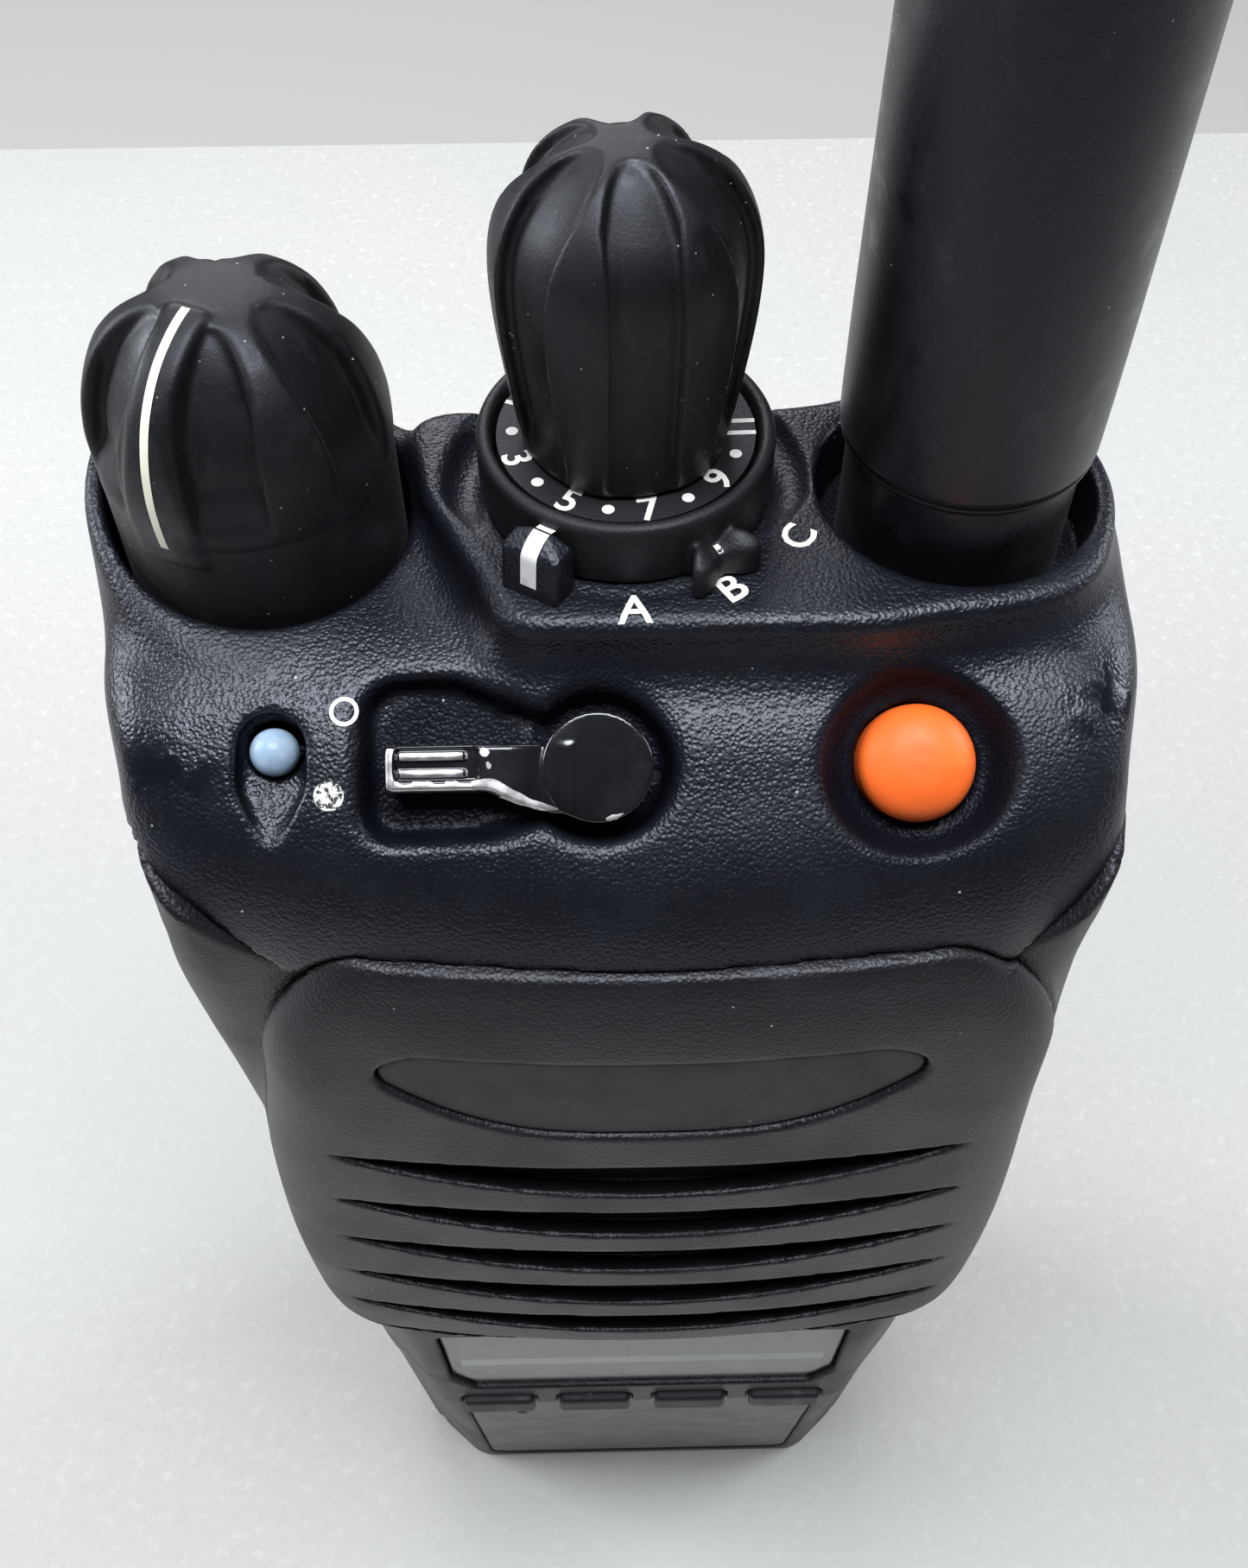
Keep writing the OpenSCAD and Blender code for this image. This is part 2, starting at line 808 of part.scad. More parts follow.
module alert_switch() {
  color("#c9cacc")
    on_deck(alert_at, -dish_depth - 8) {
      translate([-3, -3, 0]) cube([6, 6, 2]);
      cylinder(r = 1.4, h = 3);
    }
}

module status_lens() {
  color("#b9d3ea")
    on_deck(lens_at, -3.2) {
      cylinder(r = 1.3, h = 2);
      translate([0, 0, 2]) intersection() {
        sphere(r = 1.3);
        translate([-2, -2, -0.01]) cube([4, 4, 3]);
      }
    }
}

// ---- Antenna ----

module antenna_sleeve() {
  color("#121316")
    at_axis(antenna_at, body_h + 4)
      difference() {
        rotate_extrude()
          shape([
            [0, 0, 0], [antenna_r - 0.15, 0, 0.3], [antenna_r, 8, 30],
            [antenna_r - 0.5, antenna_len * 0.55, 200], [antenna_r - 1.7, antenna_len - 4, 3],
            [0, antenna_len - 4, 0]
          ]);
        translate([0, 0, -1]) cylinder(r = 3.4, h = antenna_len - 14);
      }
}

// Spring-like radiator on its former, drawn as the rod it fills.
module antenna_core() {
  color("#b08b4f") at_axis(antenna_at, body_h + 4.1) cylinder(r = 3.3, h = antenna_len - 20);
}

module antenna_base() {
  color("#17181b")
    at_axis(antenna_at, antenna_floor + 0.1)
      union() {
        cylinder(r = 6.3, h = body_h + 4 - antenna_floor - 0.1);
        translate([0, 0, -7]) cylinder(r = 2.9, h = 7 + eps);
      }
}

module antenna_socket() {
  color("#c8a24a")
    at_axis(antenna_at, antenna_floor)
      difference() {
        union() {
          translate([0, 0, -9.5]) cylinder(r = 4.6, h = 9.5);
          translate([0, 0, -8.5]) cylinder(r = 6.6, h = 1.2);
        }
        translate([0, 0, -8]) cylinder(r = 2.95, h = 10);
      }
}

module antenna_nut() {
  color("#b9bbbe")
    at_axis(antenna_at, antenna_floor - 1.2)
      difference() {
        cylinder(r = 5.45, h = 1.2);
        translate([0, 0, -1]) cylinder(r = 4.6, h = 4);
      }
}

// ---- Battery ----

module battery_plan(in) {
  shape([
    [-battery_w / 2 + in, bay_y + 0.2, 0], [battery_w / 2 - in, bay_y + 0.2, 0],
    [battery_w / 2 - in, back_y - in, 5.5 - in], [-battery_w / 2 + in, back_y - in, 5.5 - in]
  ]);
}

// The belt-clip inserts' axes, pointing into the battery from its back.
module at_inserts() {
  for (side = [-1, 1]) translate([side * clip_pitch / 2, back_y, clip_z]) rotate([90, 0, 0]) children();
}

module battery_case() {
  inner_h = bay_z - 0.3 - 2 * wall;
  color("#1c1d20")
    difference() {
      linear_extrude(bay_z - 0.3) battery_plan(0);
      difference() {
        translate([0, 0, wall]) linear_extrude(inner_h) battery_plan(wall);
        at_inserts() cylinder(r = 3.6, h = 4.4);
      }
      // Open front, closed by the cover.
      translate([-battery_w / 2 + wall, -5, wall]) cube([battery_w - 2 * wall, bay_y + 6.4, inner_h]);
      at_inserts() translate([0, 0, -1]) cylinder(r = 2.1, h = 5);
      // Recess of the release latch.
      translate([-10.2, back_y - 1.6, 4]) cube([20.4, 5, 12.4]);
    }
}

module battery_cover() {
  color("#26272b")
    difference() {
      translate([-battery_w / 2 + wall + 0.1, bay_y + 0.2, wall + 0.1])
        cube([battery_w - 2 * wall - 0.2, 1, bay_z - 0.5 - 2 * wall]);
      translate([-8, 0, 85]) cube([16, 5, 6]);
    }
}

module battery_cells() {
  color("#3d5a86")
    for (i = [0:1]) translate([-20.5 + 21 * i, bay_y + 2.2, 8]) linear_extrude(74)
      shape([[0, 0, 2], [20, 0, 2], [20, 7.4, 2], [0, 7.4, 2]]);
}

module battery_terminals() {
  color("#c8a24a")
    for (x = [-6.2, -2.1, 2.1, 6.2]) translate([x - 1.2, bay_y + 0.6, 86]) cube([2.4, 1.2, 4]);
}

// Sprung contacts on the radio that press on the battery's terminals.
module radio_contacts() {
  color("#c8a24a") {
    translate([-8.6, bay_y - wall - 1.4, 84.4]) cube([17.2, 1.9, 7.2]);
    for (x = [-6.2, -2.1, 2.1, 6.2])
      translate([x, bay_y - 1.4, 88]) rotate([-90, 0, 0]) cylinder(r = 0.6, h = 1.9);
  }
}

module battery_latch() {
  color("#101114")
    translate([-10, back_y - 1.5, 4.2]) {
      cube([20, 1.5, 9.6]);
      for (z = [2:1.8:7.4]) translate([3, 1.5 - eps, z]) cube([14, 0.35, 0.8]);
    }
}

module clip_inserts() {
  color("#c8a24a")
    at_inserts()
      difference() {
        cylinder(r = 2.1, h = 4);
        translate([0, 0, -1]) cylinder(r = 1.25, h = 6);
      }
}

// ---- Drawing ----

top_case();
rear_case();
front_case();
name_plate();
lower_panel();
case_gasket();
case_screws();
display_window();
display_module();
control_board();
main_board();
shield_can();
front_key(0);  // front_key_1
front_key(1);  // front_key_2
front_key(2);  // front_key_3
front_key(3);  // front_key_4
key_mat();
speaker_mesh();
speaker_frame();
speaker_cone();
speaker_magnet();
microphone();
ptt_button();
ptt_seal();
side_key(side_key_zs[0], half_w);  // side_key_upper
side_key(side_key_zs[1], half_w - 0.9);  // side_key_lower
side_switches();
accessory_cover();
accessory_cover_screw();
accessory_contacts();
volume_knob();
volume_shaft();
volume_control();
volume_nut();
selector_knob();
channel_dial();
selector_shaft();
selector_switch();
ring_switch();
pointer_block();
lever();
lever_seal();
lever_switch();
alert_button();
alert_seal();
alert_switch();
status_lens();
antenna_sleeve();
antenna_core();
antenna_base();
antenna_socket();
antenna_nut();
battery_case();
battery_cover();
battery_cells();
battery_terminals();
radio_contacts();
battery_latch();
clip_inserts();
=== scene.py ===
"""Looks of a handheld two-way radio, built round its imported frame.

Shapes are worked out in millimetres as signed distances (negative inside), then meshed in metres.
"""
import json
import math

import bmesh
import bpy
import numpy as np
from mathutils import Matrix, Vector


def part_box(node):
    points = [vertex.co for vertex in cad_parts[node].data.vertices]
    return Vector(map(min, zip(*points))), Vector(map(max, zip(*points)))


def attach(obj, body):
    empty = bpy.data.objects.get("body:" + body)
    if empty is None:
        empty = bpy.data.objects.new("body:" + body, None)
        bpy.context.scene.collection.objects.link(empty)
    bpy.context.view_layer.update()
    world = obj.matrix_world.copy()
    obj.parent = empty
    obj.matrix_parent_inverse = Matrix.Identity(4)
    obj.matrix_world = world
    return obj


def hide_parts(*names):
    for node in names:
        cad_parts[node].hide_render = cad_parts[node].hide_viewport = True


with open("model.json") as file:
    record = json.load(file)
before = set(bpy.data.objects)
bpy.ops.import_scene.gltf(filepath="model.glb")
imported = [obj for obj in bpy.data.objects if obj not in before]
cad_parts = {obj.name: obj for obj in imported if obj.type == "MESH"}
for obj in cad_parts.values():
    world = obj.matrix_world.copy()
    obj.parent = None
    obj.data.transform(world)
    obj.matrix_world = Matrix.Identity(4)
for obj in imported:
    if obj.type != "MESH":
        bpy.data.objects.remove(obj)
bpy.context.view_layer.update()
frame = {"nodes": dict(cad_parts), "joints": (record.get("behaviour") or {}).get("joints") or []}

MM = 0.001
rng = np.random.default_rng(7)


# ---- Places, most taken from the frame, the rest given as numbers ----

def low(node):
    return np.array(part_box(node)[0]) / MM


def high(node):
    return np.array(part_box(node)[1]) / MM


def middle(node):
    return (low(node) + high(node)) / 2


joints = {j["name"]: j for j in frame["joints"]}


def joint_at(name):
    return np.array(joints[name]["pos_m"]) / MM


PLATEAU = low("ring_switch")[2] - 0.1
VOLUME = joint_at("volume_turn")
RING = joint_at("ring_turn")
LEVER = joint_at("lever_turn")
OUT = np.array(joints["lever_turn"]["axis"], float)
DOWN = np.array([0.0, -OUT[2], OUT[1]])
ANTENNA = middle("antenna_sleeve")
ALERT = middle("alert_button")
LENS = middle("status_lens")
SEAM = PLATEAU - 15
TIP_SEAM = PLATEAU - 17.5
CHIN = PLATEAU - 75
WALL = 1.8
LEFT_LIMIT = -30.75
PTT_Y = -5.5
COVER_Y, COVER_Z = -5, 88
COVER_SCREW_Z = 79
CLIP_X, CLIP_Z = 10, 92
MIC_X, MIC_Z = -12, 30


# ---- Distance helpers ----

def smooth_min(a, b, k):
    h = np.clip(0.5 + 0.5 * (b - a) / k, 0, 1)
    return b + (a - b) * h - k * h * (1 - h)


def smooth_max(a, b, k):
    return -smooth_min(-a, -b, k)


def from_axis(p, axis):
    return np.hypot(p[:, 0] - axis[0], p[:, 1] - axis[1])


def around(p, axis, turn):
    """Outwards, sideways and upwards from an upright axis, at an angle."""
    x, y = p[:, 0] - axis[0], p[:, 1] - axis[1]
    return x * math.cos(turn) + y * math.sin(turn), y * math.cos(turn) - x * math.sin(turn), p[:, 2]


def carve(a, b, k=0.3):
    """a with b cut out, its edge rounded by about k."""
    return smooth_max(a, -b, k)


def step_up(x, a, b):
    """0 below a, 1 above b, smooth between."""
    t = np.clip((x - a) / (b - a), 0, 1)
    return t * t * (3 - 2 * t)


def round_corners(points, steps=6):
    """Turns corners [x, y, r] into a polyline with arcs."""
    out = []
    n = len(points)
    for i, (x, y, r) in enumerate(points):
        p = np.array([x, y], float)
        if r == 0:
            out.append(p)
            continue
        a = np.array(points[i - 1][:2], float) - p
        b = np.array(points[(i + 1) % n][:2], float) - p
        a /= np.linalg.norm(a)
        b /= np.linalg.norm(b)
        half = math.acos(np.clip(a @ b, -1, 1)) / 2
        mid = p + (a + b) / np.linalg.norm(a + b) * r / math.sin(half)
        start = p + a * r / math.tan(half) - mid
        side = -1 if a[0] * b[1] - a[1] * b[0] > 0 else 1
        for j in range(steps + 1):
            t = side * (math.pi - 2 * half) * j / steps
            c, s = math.cos(t), math.sin(t)
            out.append(mid + [start[0] * c - start[1] * s, start[0] * s + start[1] * c])
    return np.array(out)


class Outline:
    """Signed distance to a closed flat outline, kept on a fine raster so that it is quick to ask."""

    def __init__(self, points, pitch=0.1, margin=3.0, steps=6):
        line = round_corners([(p[0], p[1], p[2] if len(p) > 2 else 0) for p in points], steps)
        self.low = line.min(0) - margin
        self.pitch = pitch
        count = np.ceil((line.max(0) + margin - self.low) / pitch).astype(int) + 2
        gx, gy = np.meshgrid(*[self.low[i] + pitch * np.arange(count[i]) for i in (0, 1)], indexing="ij")
        best = np.full(gx.shape, 1e9)
        inside = np.zeros(gx.shape, bool)
        for a, b in zip(line, np.roll(line, -1, 0)):
            e = b - a
            wx, wy = gx - a[0], gy - a[1]
            t = np.clip((wx * e[0] + wy * e[1]) / max(e @ e, 1e-12), 0, 1)
            best = np.minimum(best, (wx - e[0] * t) ** 2 + (wy - e[1] * t) ** 2)
            with np.errstate(divide="ignore", invalid="ignore"):
                inside ^= ((a[1] > gy) != (b[1] > gy)) & (gx < e[0] * (gy - a[1]) / e[1] + a[0])
        self.grid = np.where(inside, -1, 1) * np.sqrt(best)

    def __call__(self, x, y):
        top = np.array(self.grid.shape) - 1.001
        u, v = (x - self.low[0]) / self.pitch, (y - self.low[1]) / self.pitch
        cu, cv = np.clip(u, 0, top[0]), np.clip(v, 0, top[1])
        i, j = cu.astype(int), cv.astype(int)
        fu, fv = cu - i, cv - j
        g = self.grid
        d = (g[i, j] * (1 - fu) + g[i + 1, j] * fu) * (1 - fv)
        d = d + (g[i, j + 1] * (1 - fu) + g[i + 1, j + 1] * fu) * fv
        return d + np.hypot(u - cu, v - cv) * self.pitch


def smooth_curve(points, per=8):
    """A curve through the points (Catmull-Rom)."""
    p = np.array(points, float)
    p = np.vstack([2 * p[0] - p[1], p, 2 * p[-1] - p[-2]])
    out = []
    for i in range(1, len(p) - 2):
        for t in np.arange(per) / per:
            a, b, c, d = p[i - 1:i + 3]
            out.append(0.5 * (2 * b + (c - a) * t + (2 * a - 5 * b + 4 * c - d) * t * t
                              + (3 * b - a - 3 * c + d) * t ** 3))
    return np.array(out + [p[-2]])


def revolved(profile, pitch=0.08):
    """Distance to a turned solid. The profile runs from the top of the axis to its bottom, as (r, z)."""
    right = np.array(profile, float)
    left = right[::-1] * [-1, 1]
    return Outline(np.vstack([right, left]), pitch)


def deck_frame(p, origin):
    """Across, down the slope, and out of the deck, from a point on it."""
    q = p - origin
    return q[:, 0], q @ DOWN, q @ OUT


def on_deck(origin, across, down, out=0.0):
    return origin + np.array([across, 0, 0]) + DOWN * down + OUT * out


# ---- Meshing ----

CORNERS = np.array([[i, j, k] for i in (0, 1) for j in (0, 1) for k in (0, 1)])
EDGES = [(a, b) for a in range(8) for b in range(a + 1, 8) if abs(CORNERS[a] - CORNERS[b]).sum() == 1]


def sample(shape, start, count, pitch):
    """The shape's distances on a grid, one slab at a time."""
    field = np.empty(count, np.float32)
    gx, gy = np.meshgrid(start[0] + pitch * np.arange(count[0]), start[1] + pitch * np.arange(count[1]),
                         indexing="ij")
    slab = max(1, int(400000 / gx.size))
    for k in range(0, count[2], slab):
        zs = start[2] + pitch * np.arange(k, min(k + slab, count[2]))
        p = np.stack([np.repeat(gx.ravel(), len(zs)), np.repeat(gy.ravel(), len(zs)),
                      np.tile(zs, gx.size)], 1)
        field[:, :, k:k + len(zs)] = shape(p).reshape(gx.shape + (len(zs),))
    return field


def settle(shape, v, pitch, rounds=3):
    """Moves points onto the surface along its slope."""
    e = 0.02
    for _ in range(rounds):
        d = shape(v)
        g = np.stack([shape(v + s) - shape(v - s) for s in np.eye(3) * e], 1) / (2 * e)
        size = np.maximum((g * g).sum(1), 0.25)
        v = v - g * np.clip(d / size, -pitch * 0.4, pitch * 0.4)[:, None]
    return v


def skin(name, shape, start, end, pitch):
    """Meshes the zero surface of a distance function with one vertex a cell, all quads."""
    start = np.array(start, float) - pitch * 1.5
    count = np.ceil((np.array(end) - start) / pitch).astype(int) + 3
    f = sample(shape, start, count, pitch)
    solid = f < 0
    n = np.array(f.shape) - 1
    total = sum(solid[a:n[0] + a, b:n[1] + b, c:n[2] + c].astype(np.int8) for a, b, c in CORNERS)
    cells = np.argwhere((total > 0) & (total < 8))
    index = np.full(n, -1)
    index[tuple(cells.T)] = np.arange(len(cells))
    values = [f[tuple((cells + c).T)] for c in CORNERS]
    where = np.zeros((len(cells), 3))
    hits = np.zeros(len(cells))
    for a, b in EDGES:
        cross = (values[a] < 0) != (values[b] < 0)
        t = values[a][cross] / (values[a][cross] - values[b][cross])
        where[cross] += CORNERS[a] + t[:, None] * (CORNERS[b] - CORNERS[a])
        hits[cross] += 1
    verts = settle(shape, start + pitch * (cells + where / hits[:, None]), pitch)
    quads = []
    for axis in range(3):
        u, v = np.eye(3, dtype=int)[(axis + 1) % 3], np.eye(3, dtype=int)[(axis + 2) % 3]
        along = np.eye(3, dtype=int)[axis]
        here = solid[tuple(slice(1 - along[d], n[d]) for d in range(3))]
        there = solid[tuple(slice(1, n[d] + along[d]) for d in range(3))]
        at = np.argwhere(here != there) + (1 - along)
        ring = [index[tuple((at - off).T)] for off in (u + v, v, np.zeros(3, int), u)]
        quad = np.stack(ring, 1)
        flip = ~solid[tuple(at.T)]
        quad[flip] = quad[flip][:, ::-1]
        quads.append(quad)
    return mesh_piece(name, verts, np.vstack(quads))


def mesh_piece(name, verts, faces):
    mesh = bpy.data.meshes.new(name)
    mesh.from_pydata((np.asarray(verts) * MM).tolist(), [], [tuple(map(int, face)) for face in faces])
    mesh.validate()
    mesh.update()
    mesh.shade_smooth()
    piece = bpy.data.objects.new(name, mesh)
    bpy.context.scene.collection.objects.link(piece)
    return piece


def dress(piece, material, body, slot, *nodes):
    piece.data.materials.append(material)
    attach(piece, body)
    if nodes:
        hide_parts(*nodes)
    return piece


def drop(shape, p, way, reach=1.5):
    """Points moved to the surface, coming in against way from reach above."""
    p = p + way * reach
    for _ in range(40):
        p = p - way * np.clip(shape(p), -0.5, 0.5)[:, None]
    return p


# ---- Shared outlines ----

CAP = Outline([(-29.8, 13.5, 5), (-29.8, -18.2, 5), (-20.2, -20.7, 6), (0, -22.8, 60), (20.2, -20.7, 6),
               (27, -17.6, 5), (27, 13.5, 5)])
TOP_FLAT = Outline([(-13.6, 6.9, 2.5), (-12.4, 0, 5), (-7.4, -10.3, 3), (12, -10.4, 8), (24.5, -8, 5),
                    (25.6, 9.4, 7), (8, 6.8, 6)])
IN_FRONT = Outline([(-40, PLATEAU), (-20.1, PLATEAU), (-20.1, TIP_SEAM), (-19.7, TIP_SEAM - 5, 3),
                    (-18.8, TIP_SEAM - 16, 8), (-17, CHIN + 10, 8), (-14, CHIN - 8, 8), (-10.5, -5),
                    (-40, -5)])
LEVER_PIT = Outline([(-12.6, -4, 1.8), (-12.6, 4.9, 2.3), (-7.4, 4.9, 1.5), (-2.5, 2.8, 1),
                     (-2.5, -2.9, 1), (-5.5, -3.8, 1)], 0.05)
TEAR = Outline([(-1.85, -2.1, 1.8), (1.85, -2.1, 1.8), (1.75, 2, 2), (-0.2, 5.7, 0.5), (-1.95, 2, 2)], 0.05)
PLATE = Outline([(-17, 114.4, 1.8), (-14.5, 117.2, 4), (14.5, 117.2, 4), (17, 114.4, 1.8), (10, 108.3, 16),
                 (-10, 108.3, 16)], 0.08)
WINDOW = Outline([(-18, 60, 0.8), (18, 60, 0.8), (17.6, 48.5, 1), (15.6, 45.5, 1), (-15.6, 45.5, 1),
                  (-17.6, 48.5, 1)], 0.08)
LOWER_PANEL = Outline([(-17.4, 37.4, 1.5), (17.4, 37.4, 1.5), (17, 2.2, 2), (-17, 2.2, 2)], 0.08)


def eased(points, start=0):
    """A smooth function through (x, value) points, with x counted from start."""
    curve = smooth_curve([(start + x, value) for x, value in points])
    return lambda x: np.interp(x, curve[:, 0], curve[:, 1])


TIP_X = 20.2
TIP_Y = 20.1
SEAM_RISE = eased([(0, 0), (1, 1.2), (3, 3.1), (5, 5.1), (7, 6.6), (9.7, 8.4), (11.5, 9.1), (14, 9.4),
                   (60, 9.4)])


def seam_height(x, y):
    """Height of the seam under the top case: it dips to a V each side of the front panel."""
    side = TIP_SEAM + SEAM_RISE(np.hypot(np.abs(x) - TIP_X, y + TIP_Y))
    front = SEAM - (SEAM - TIP_SEAM) * np.clip(1 - (TIP_X - np.abs(x)) / 4, 0, 1) ** 2
    return np.where((np.abs(x) < TIP_X) & (y < -14), front, side)


def onto_deck(point):
    return point - OUT * ((point - LEVER) @ OUT)


ALERT_AT = onto_deck(ALERT)
LENS_AT = onto_deck(LENS)
PIT_DEPTH = 2.5


# ---- Top case ----

def top_form(p):
    """The moulded outside of the top case, before its holes."""
    x, y, z = p.T
    h = (p - LEVER) @ OUT
    slope = y - 9.3 + 2.8 * step_up(-x, 9.5, 14)
    roof = smooth_max(z - (PLATEAU - 2.9), (z - PLATEAU + 2.9 + 0.85 * slope) * 0.76, 1.0)
    # The front corners draw in a little towards the seam.
    draw = step_up(-z, -(PLATEAU - 3), -(PLATEAU - 10)) * step_up(-y, 6, 14)
    plan = CAP(x * (1 + np.where(x < 0, 0.035, 0.028) * draw), y)
    body = smooth_max(smooth_max(plan, h, 5.0), roof, 3.0)
    flat = smooth_min(TOP_FLAT(x, y), from_axis(p, ANTENNA) - 8.8, 1.5)
    form = smooth_min(body, smooth_max(flat, z - PLATEAU, 1.1), 2.2)
    waist = 9.4 - 0.06 * np.clip(PLATEAU - 2 - z, 0, 8)
    rim = ((x + 21.5) * 0.254 - (y - 1.4) * 0.302 + z - PLATEAU + 1) / 1.076
    cup = smooth_max(from_axis(p, VOLUME) - waist, rim, 1.3)
    form = smooth_min(form, cup, 2.6)
    moat = np.hypot(from_axis(p, RING) - 8.9, z - PLATEAU - 0.1)
    form = carve(form, moat - 1.2 * step_up(y, -4, 0), 0.5)
    # The cup stays within the width of the CAD model.
    return np.maximum(form, LEFT_LIMIT - x)


def lever_pit(p):
    a, s, h = deck_frame(p, LEVER)
    flat = smooth_min(LEVER_PIT(a, -s), np.hypot(a, s) - 4.05, 0.5)
    pads = [np.maximum(np.abs(a - across) - 0.95, np.abs(s - down) - 0.36)
            for across, down in ((-4.35, -3.38), (-5.25, 3.31))]
    floor = -PIT_DEPTH + 0.3 * step_up(-np.minimum(*pads), -0.12, 0.08)
    return smooth_max((flat - 0.2 * h) * 0.98, floor - h, 0.5)


def deck_holes(p):
    """What is cut into the deck: list of (distance, edge rounding)."""
    a, s, h = deck_frame(p, ALERT_AT)
    r = np.hypot(a, s)
    dish = smooth_max((r - 5.4 - 0.75 * h) * 0.8, -1.9 - h, 0.4)
    hole = np.maximum(r - 3.3, -4 - h)
    button_room = np.maximum(r - 4.6, np.abs(h + 6.6) - 3.2)
    la, ls, lh = deck_frame(p, LENS_AT)
    floor = -1.5 + 1.1 * step_up(ls, 1.2, 5.6)
    tear = smooth_max(TEAR(la, ls), floor - lh, 0.5)
    light = np.maximum(np.hypot(la, ls + 0.15) - 1.55, -5 - lh)
    ca, cs, ch = deck_frame(p, LEVER)
    shaft = np.maximum(np.hypot(ca, cs) - 1.56, -6 - ch)
    switch_room = np.maximum.reduce([np.abs(ca) - 4.3, np.abs(cs) - 3.3, np.abs(ch + 5.7) - 2.5])
    return [(dish, 0.35), (lever_pit(p), 0.9), (tear, 0.3), (hole, 0.1), (button_room, 0.1), (light, 0.1),
            (shaft, 0.1), (switch_room, 0.1)]


def top_case(p):
    x, y, z = p.T
    form = top_form(p)
    for cut, k in deck_holes(p):
        form = carve(form, cut, k)
    hollow = np.maximum(form + WALL, z - (PLATEAU - 8))
    about_volume, about_antenna, about_ring = [from_axis(p, axis) for axis in (VOLUME, ANTENNA, RING)]
    for about, radius, deep in ((about_volume, 8.3, 6), (about_antenna, 7.7, 4.5)):
        form = carve(form, np.maximum(about - radius, PLATEAU - deep - z), 0.5)
    for bore in (about_volume - 4, about_antenna - 5.5, about_ring - 4,
                 np.maximum.reduce([about_ring - 7.4, z - PLATEAU + 2.2, form + 0.7]), hollow):
        form = np.maximum(form, -bore)
    return np.maximum(form, seam_height(x, y) - z + 0.06)


# ---- Housing ----

BULGE_OUT = eased([(0, 22.9), (2, 23.5), (6, 24.2), (16, 24.6), (34, 24.8), (48, 24.55), (53, 24.3),
                   (56, 23.9), (58.5, 23.2), (60.5, 22.5), (64, 22.4)], CHIN)
BULGE_HALF = eased([(0, 26.4), (8, 27), (20, 27.1), (34, 26.2), (45, 24.9), (50, 24.1), (54, 22.7),
                    (57.5, 20.8), (60, 19)], CHIN)
FLANK_LEFT = eased([(CHIN, 26.9), (90, 27.7), (103, 28.2), (110, 28.5), (117, 28.6), (122, 28.2),
                    (127, 27.9), (131, 27.9)])
FLANK_RIGHT = eased([(CHIN, 26.9), (90, 27.4), (104, 27.4), (109, 27), (113.5, 26.6), (118, 26.3),
                     (127, 26.2), (131, 26.2)])
FLANK_FRONT = eased([(CHIN, 17), (90, 17.6), (100, 18.1), (110, 18.9), (118, 19.7), (121.5, 20.1),
                     (124, 20.4), (131, 20.8)])


def bulge_form(p):
    """The raised panel over the speaker, with round shoulders."""
    x, y, z = p.T
    front = -(y + BULGE_OUT(z)) + 3.0 * (x / 27) ** 2
    x = x - 0.6 * step_up(z, CHIN + 32, CHIN + 48)
    soft = 6.0 - 2.2 * step_up(z, CHIN + 38, CHIN + 54)
    return smooth_max(front, np.abs(x) - BULGE_HALF(z), soft)


def flank_form(p):
    """The body behind that panel, which narrows downwards; its left side stands out further."""
    x, y, z = p.T
    return smooth_max(-(y + FLANK_FRONT(z)), np.maximum(-x - FLANK_LEFT(z), x - FLANK_RIGHT(z)), 6.0)


def chin_form(p):
    """The lower housing: a flat face, a slanting flank each side, and a lean towards the foot."""
    x, y, z = p.T
    levels = [0, 39.4, 40.8, CHIN + 2]
    out = np.interp(z, levels, [15, 19.9, 20.8, 20.8])
    face = np.interp(z, levels, [18.2, 18.4, 18.6, 20.5])
    side = np.interp(z, levels, [8.6, 11.6, 12, 15])
    half = np.interp(z, levels, [25.4, 26.6, 26.6, 26.9])
    x = np.abs(x)
    flank = ((x - face) * (out - side) - (y + out) * (half - face)) / np.hypot(half - face, out - side)
    return smooth_max(smooth_max(-(y + out), flank, 1.0), x - half, 3.0)


def housing(p):
    z = p[:, 2]
    upper = smooth_max(smooth_min(bulge_form(p), flank_form(p), 0.6), CHIN - z, 2.2)
    lower = np.maximum(chin_form(p), z - CHIN - 12)
    return smooth_max(smooth_min(upper, lower, 0.7), -z, 1.0)


SLIT_TOP = PLATEAU - 36
SLIT_COUNT = 6
SLIT_PITCH = 7.1


def slits(p, depth):
    """Six lens-shaped slots whose lower walls fall away inwards."""
    x, z = p[:, 0], p[:, 2]
    best = np.full(len(p), 9.0)
    for i in range(SLIT_COUNT):
        t = 1 - (x / (20.4 + 0.6 * i)) ** 2
        rise = z - (SLIT_TOP - SLIT_PITCH * i)
        fall = (3.2 - 0.08 * i) * t + 0.75 * np.clip(depth, 0, 3) * np.clip(t * 4, 0, 1)
        best = np.minimum(best, smooth_max(rise - 0.9 * t, -fall - rise, 0.25))
    return best


KEY_XS = [middle("front_key_%d" % i)[0] for i in (1, 2, 3, 4)]
KEY_Z = middle("front_key_1")[2]


def block(values, half, r):
    """Distance to a box with edges of radius r; values are the offsets from its middle."""
    q = [np.abs(v) - h + r for v, h in zip(values, half)]
    outside = np.sqrt(sum(np.clip(a, 0, None) ** 2 for a in q))
    return outside + np.minimum(np.maximum.reduce(q), 0) - r


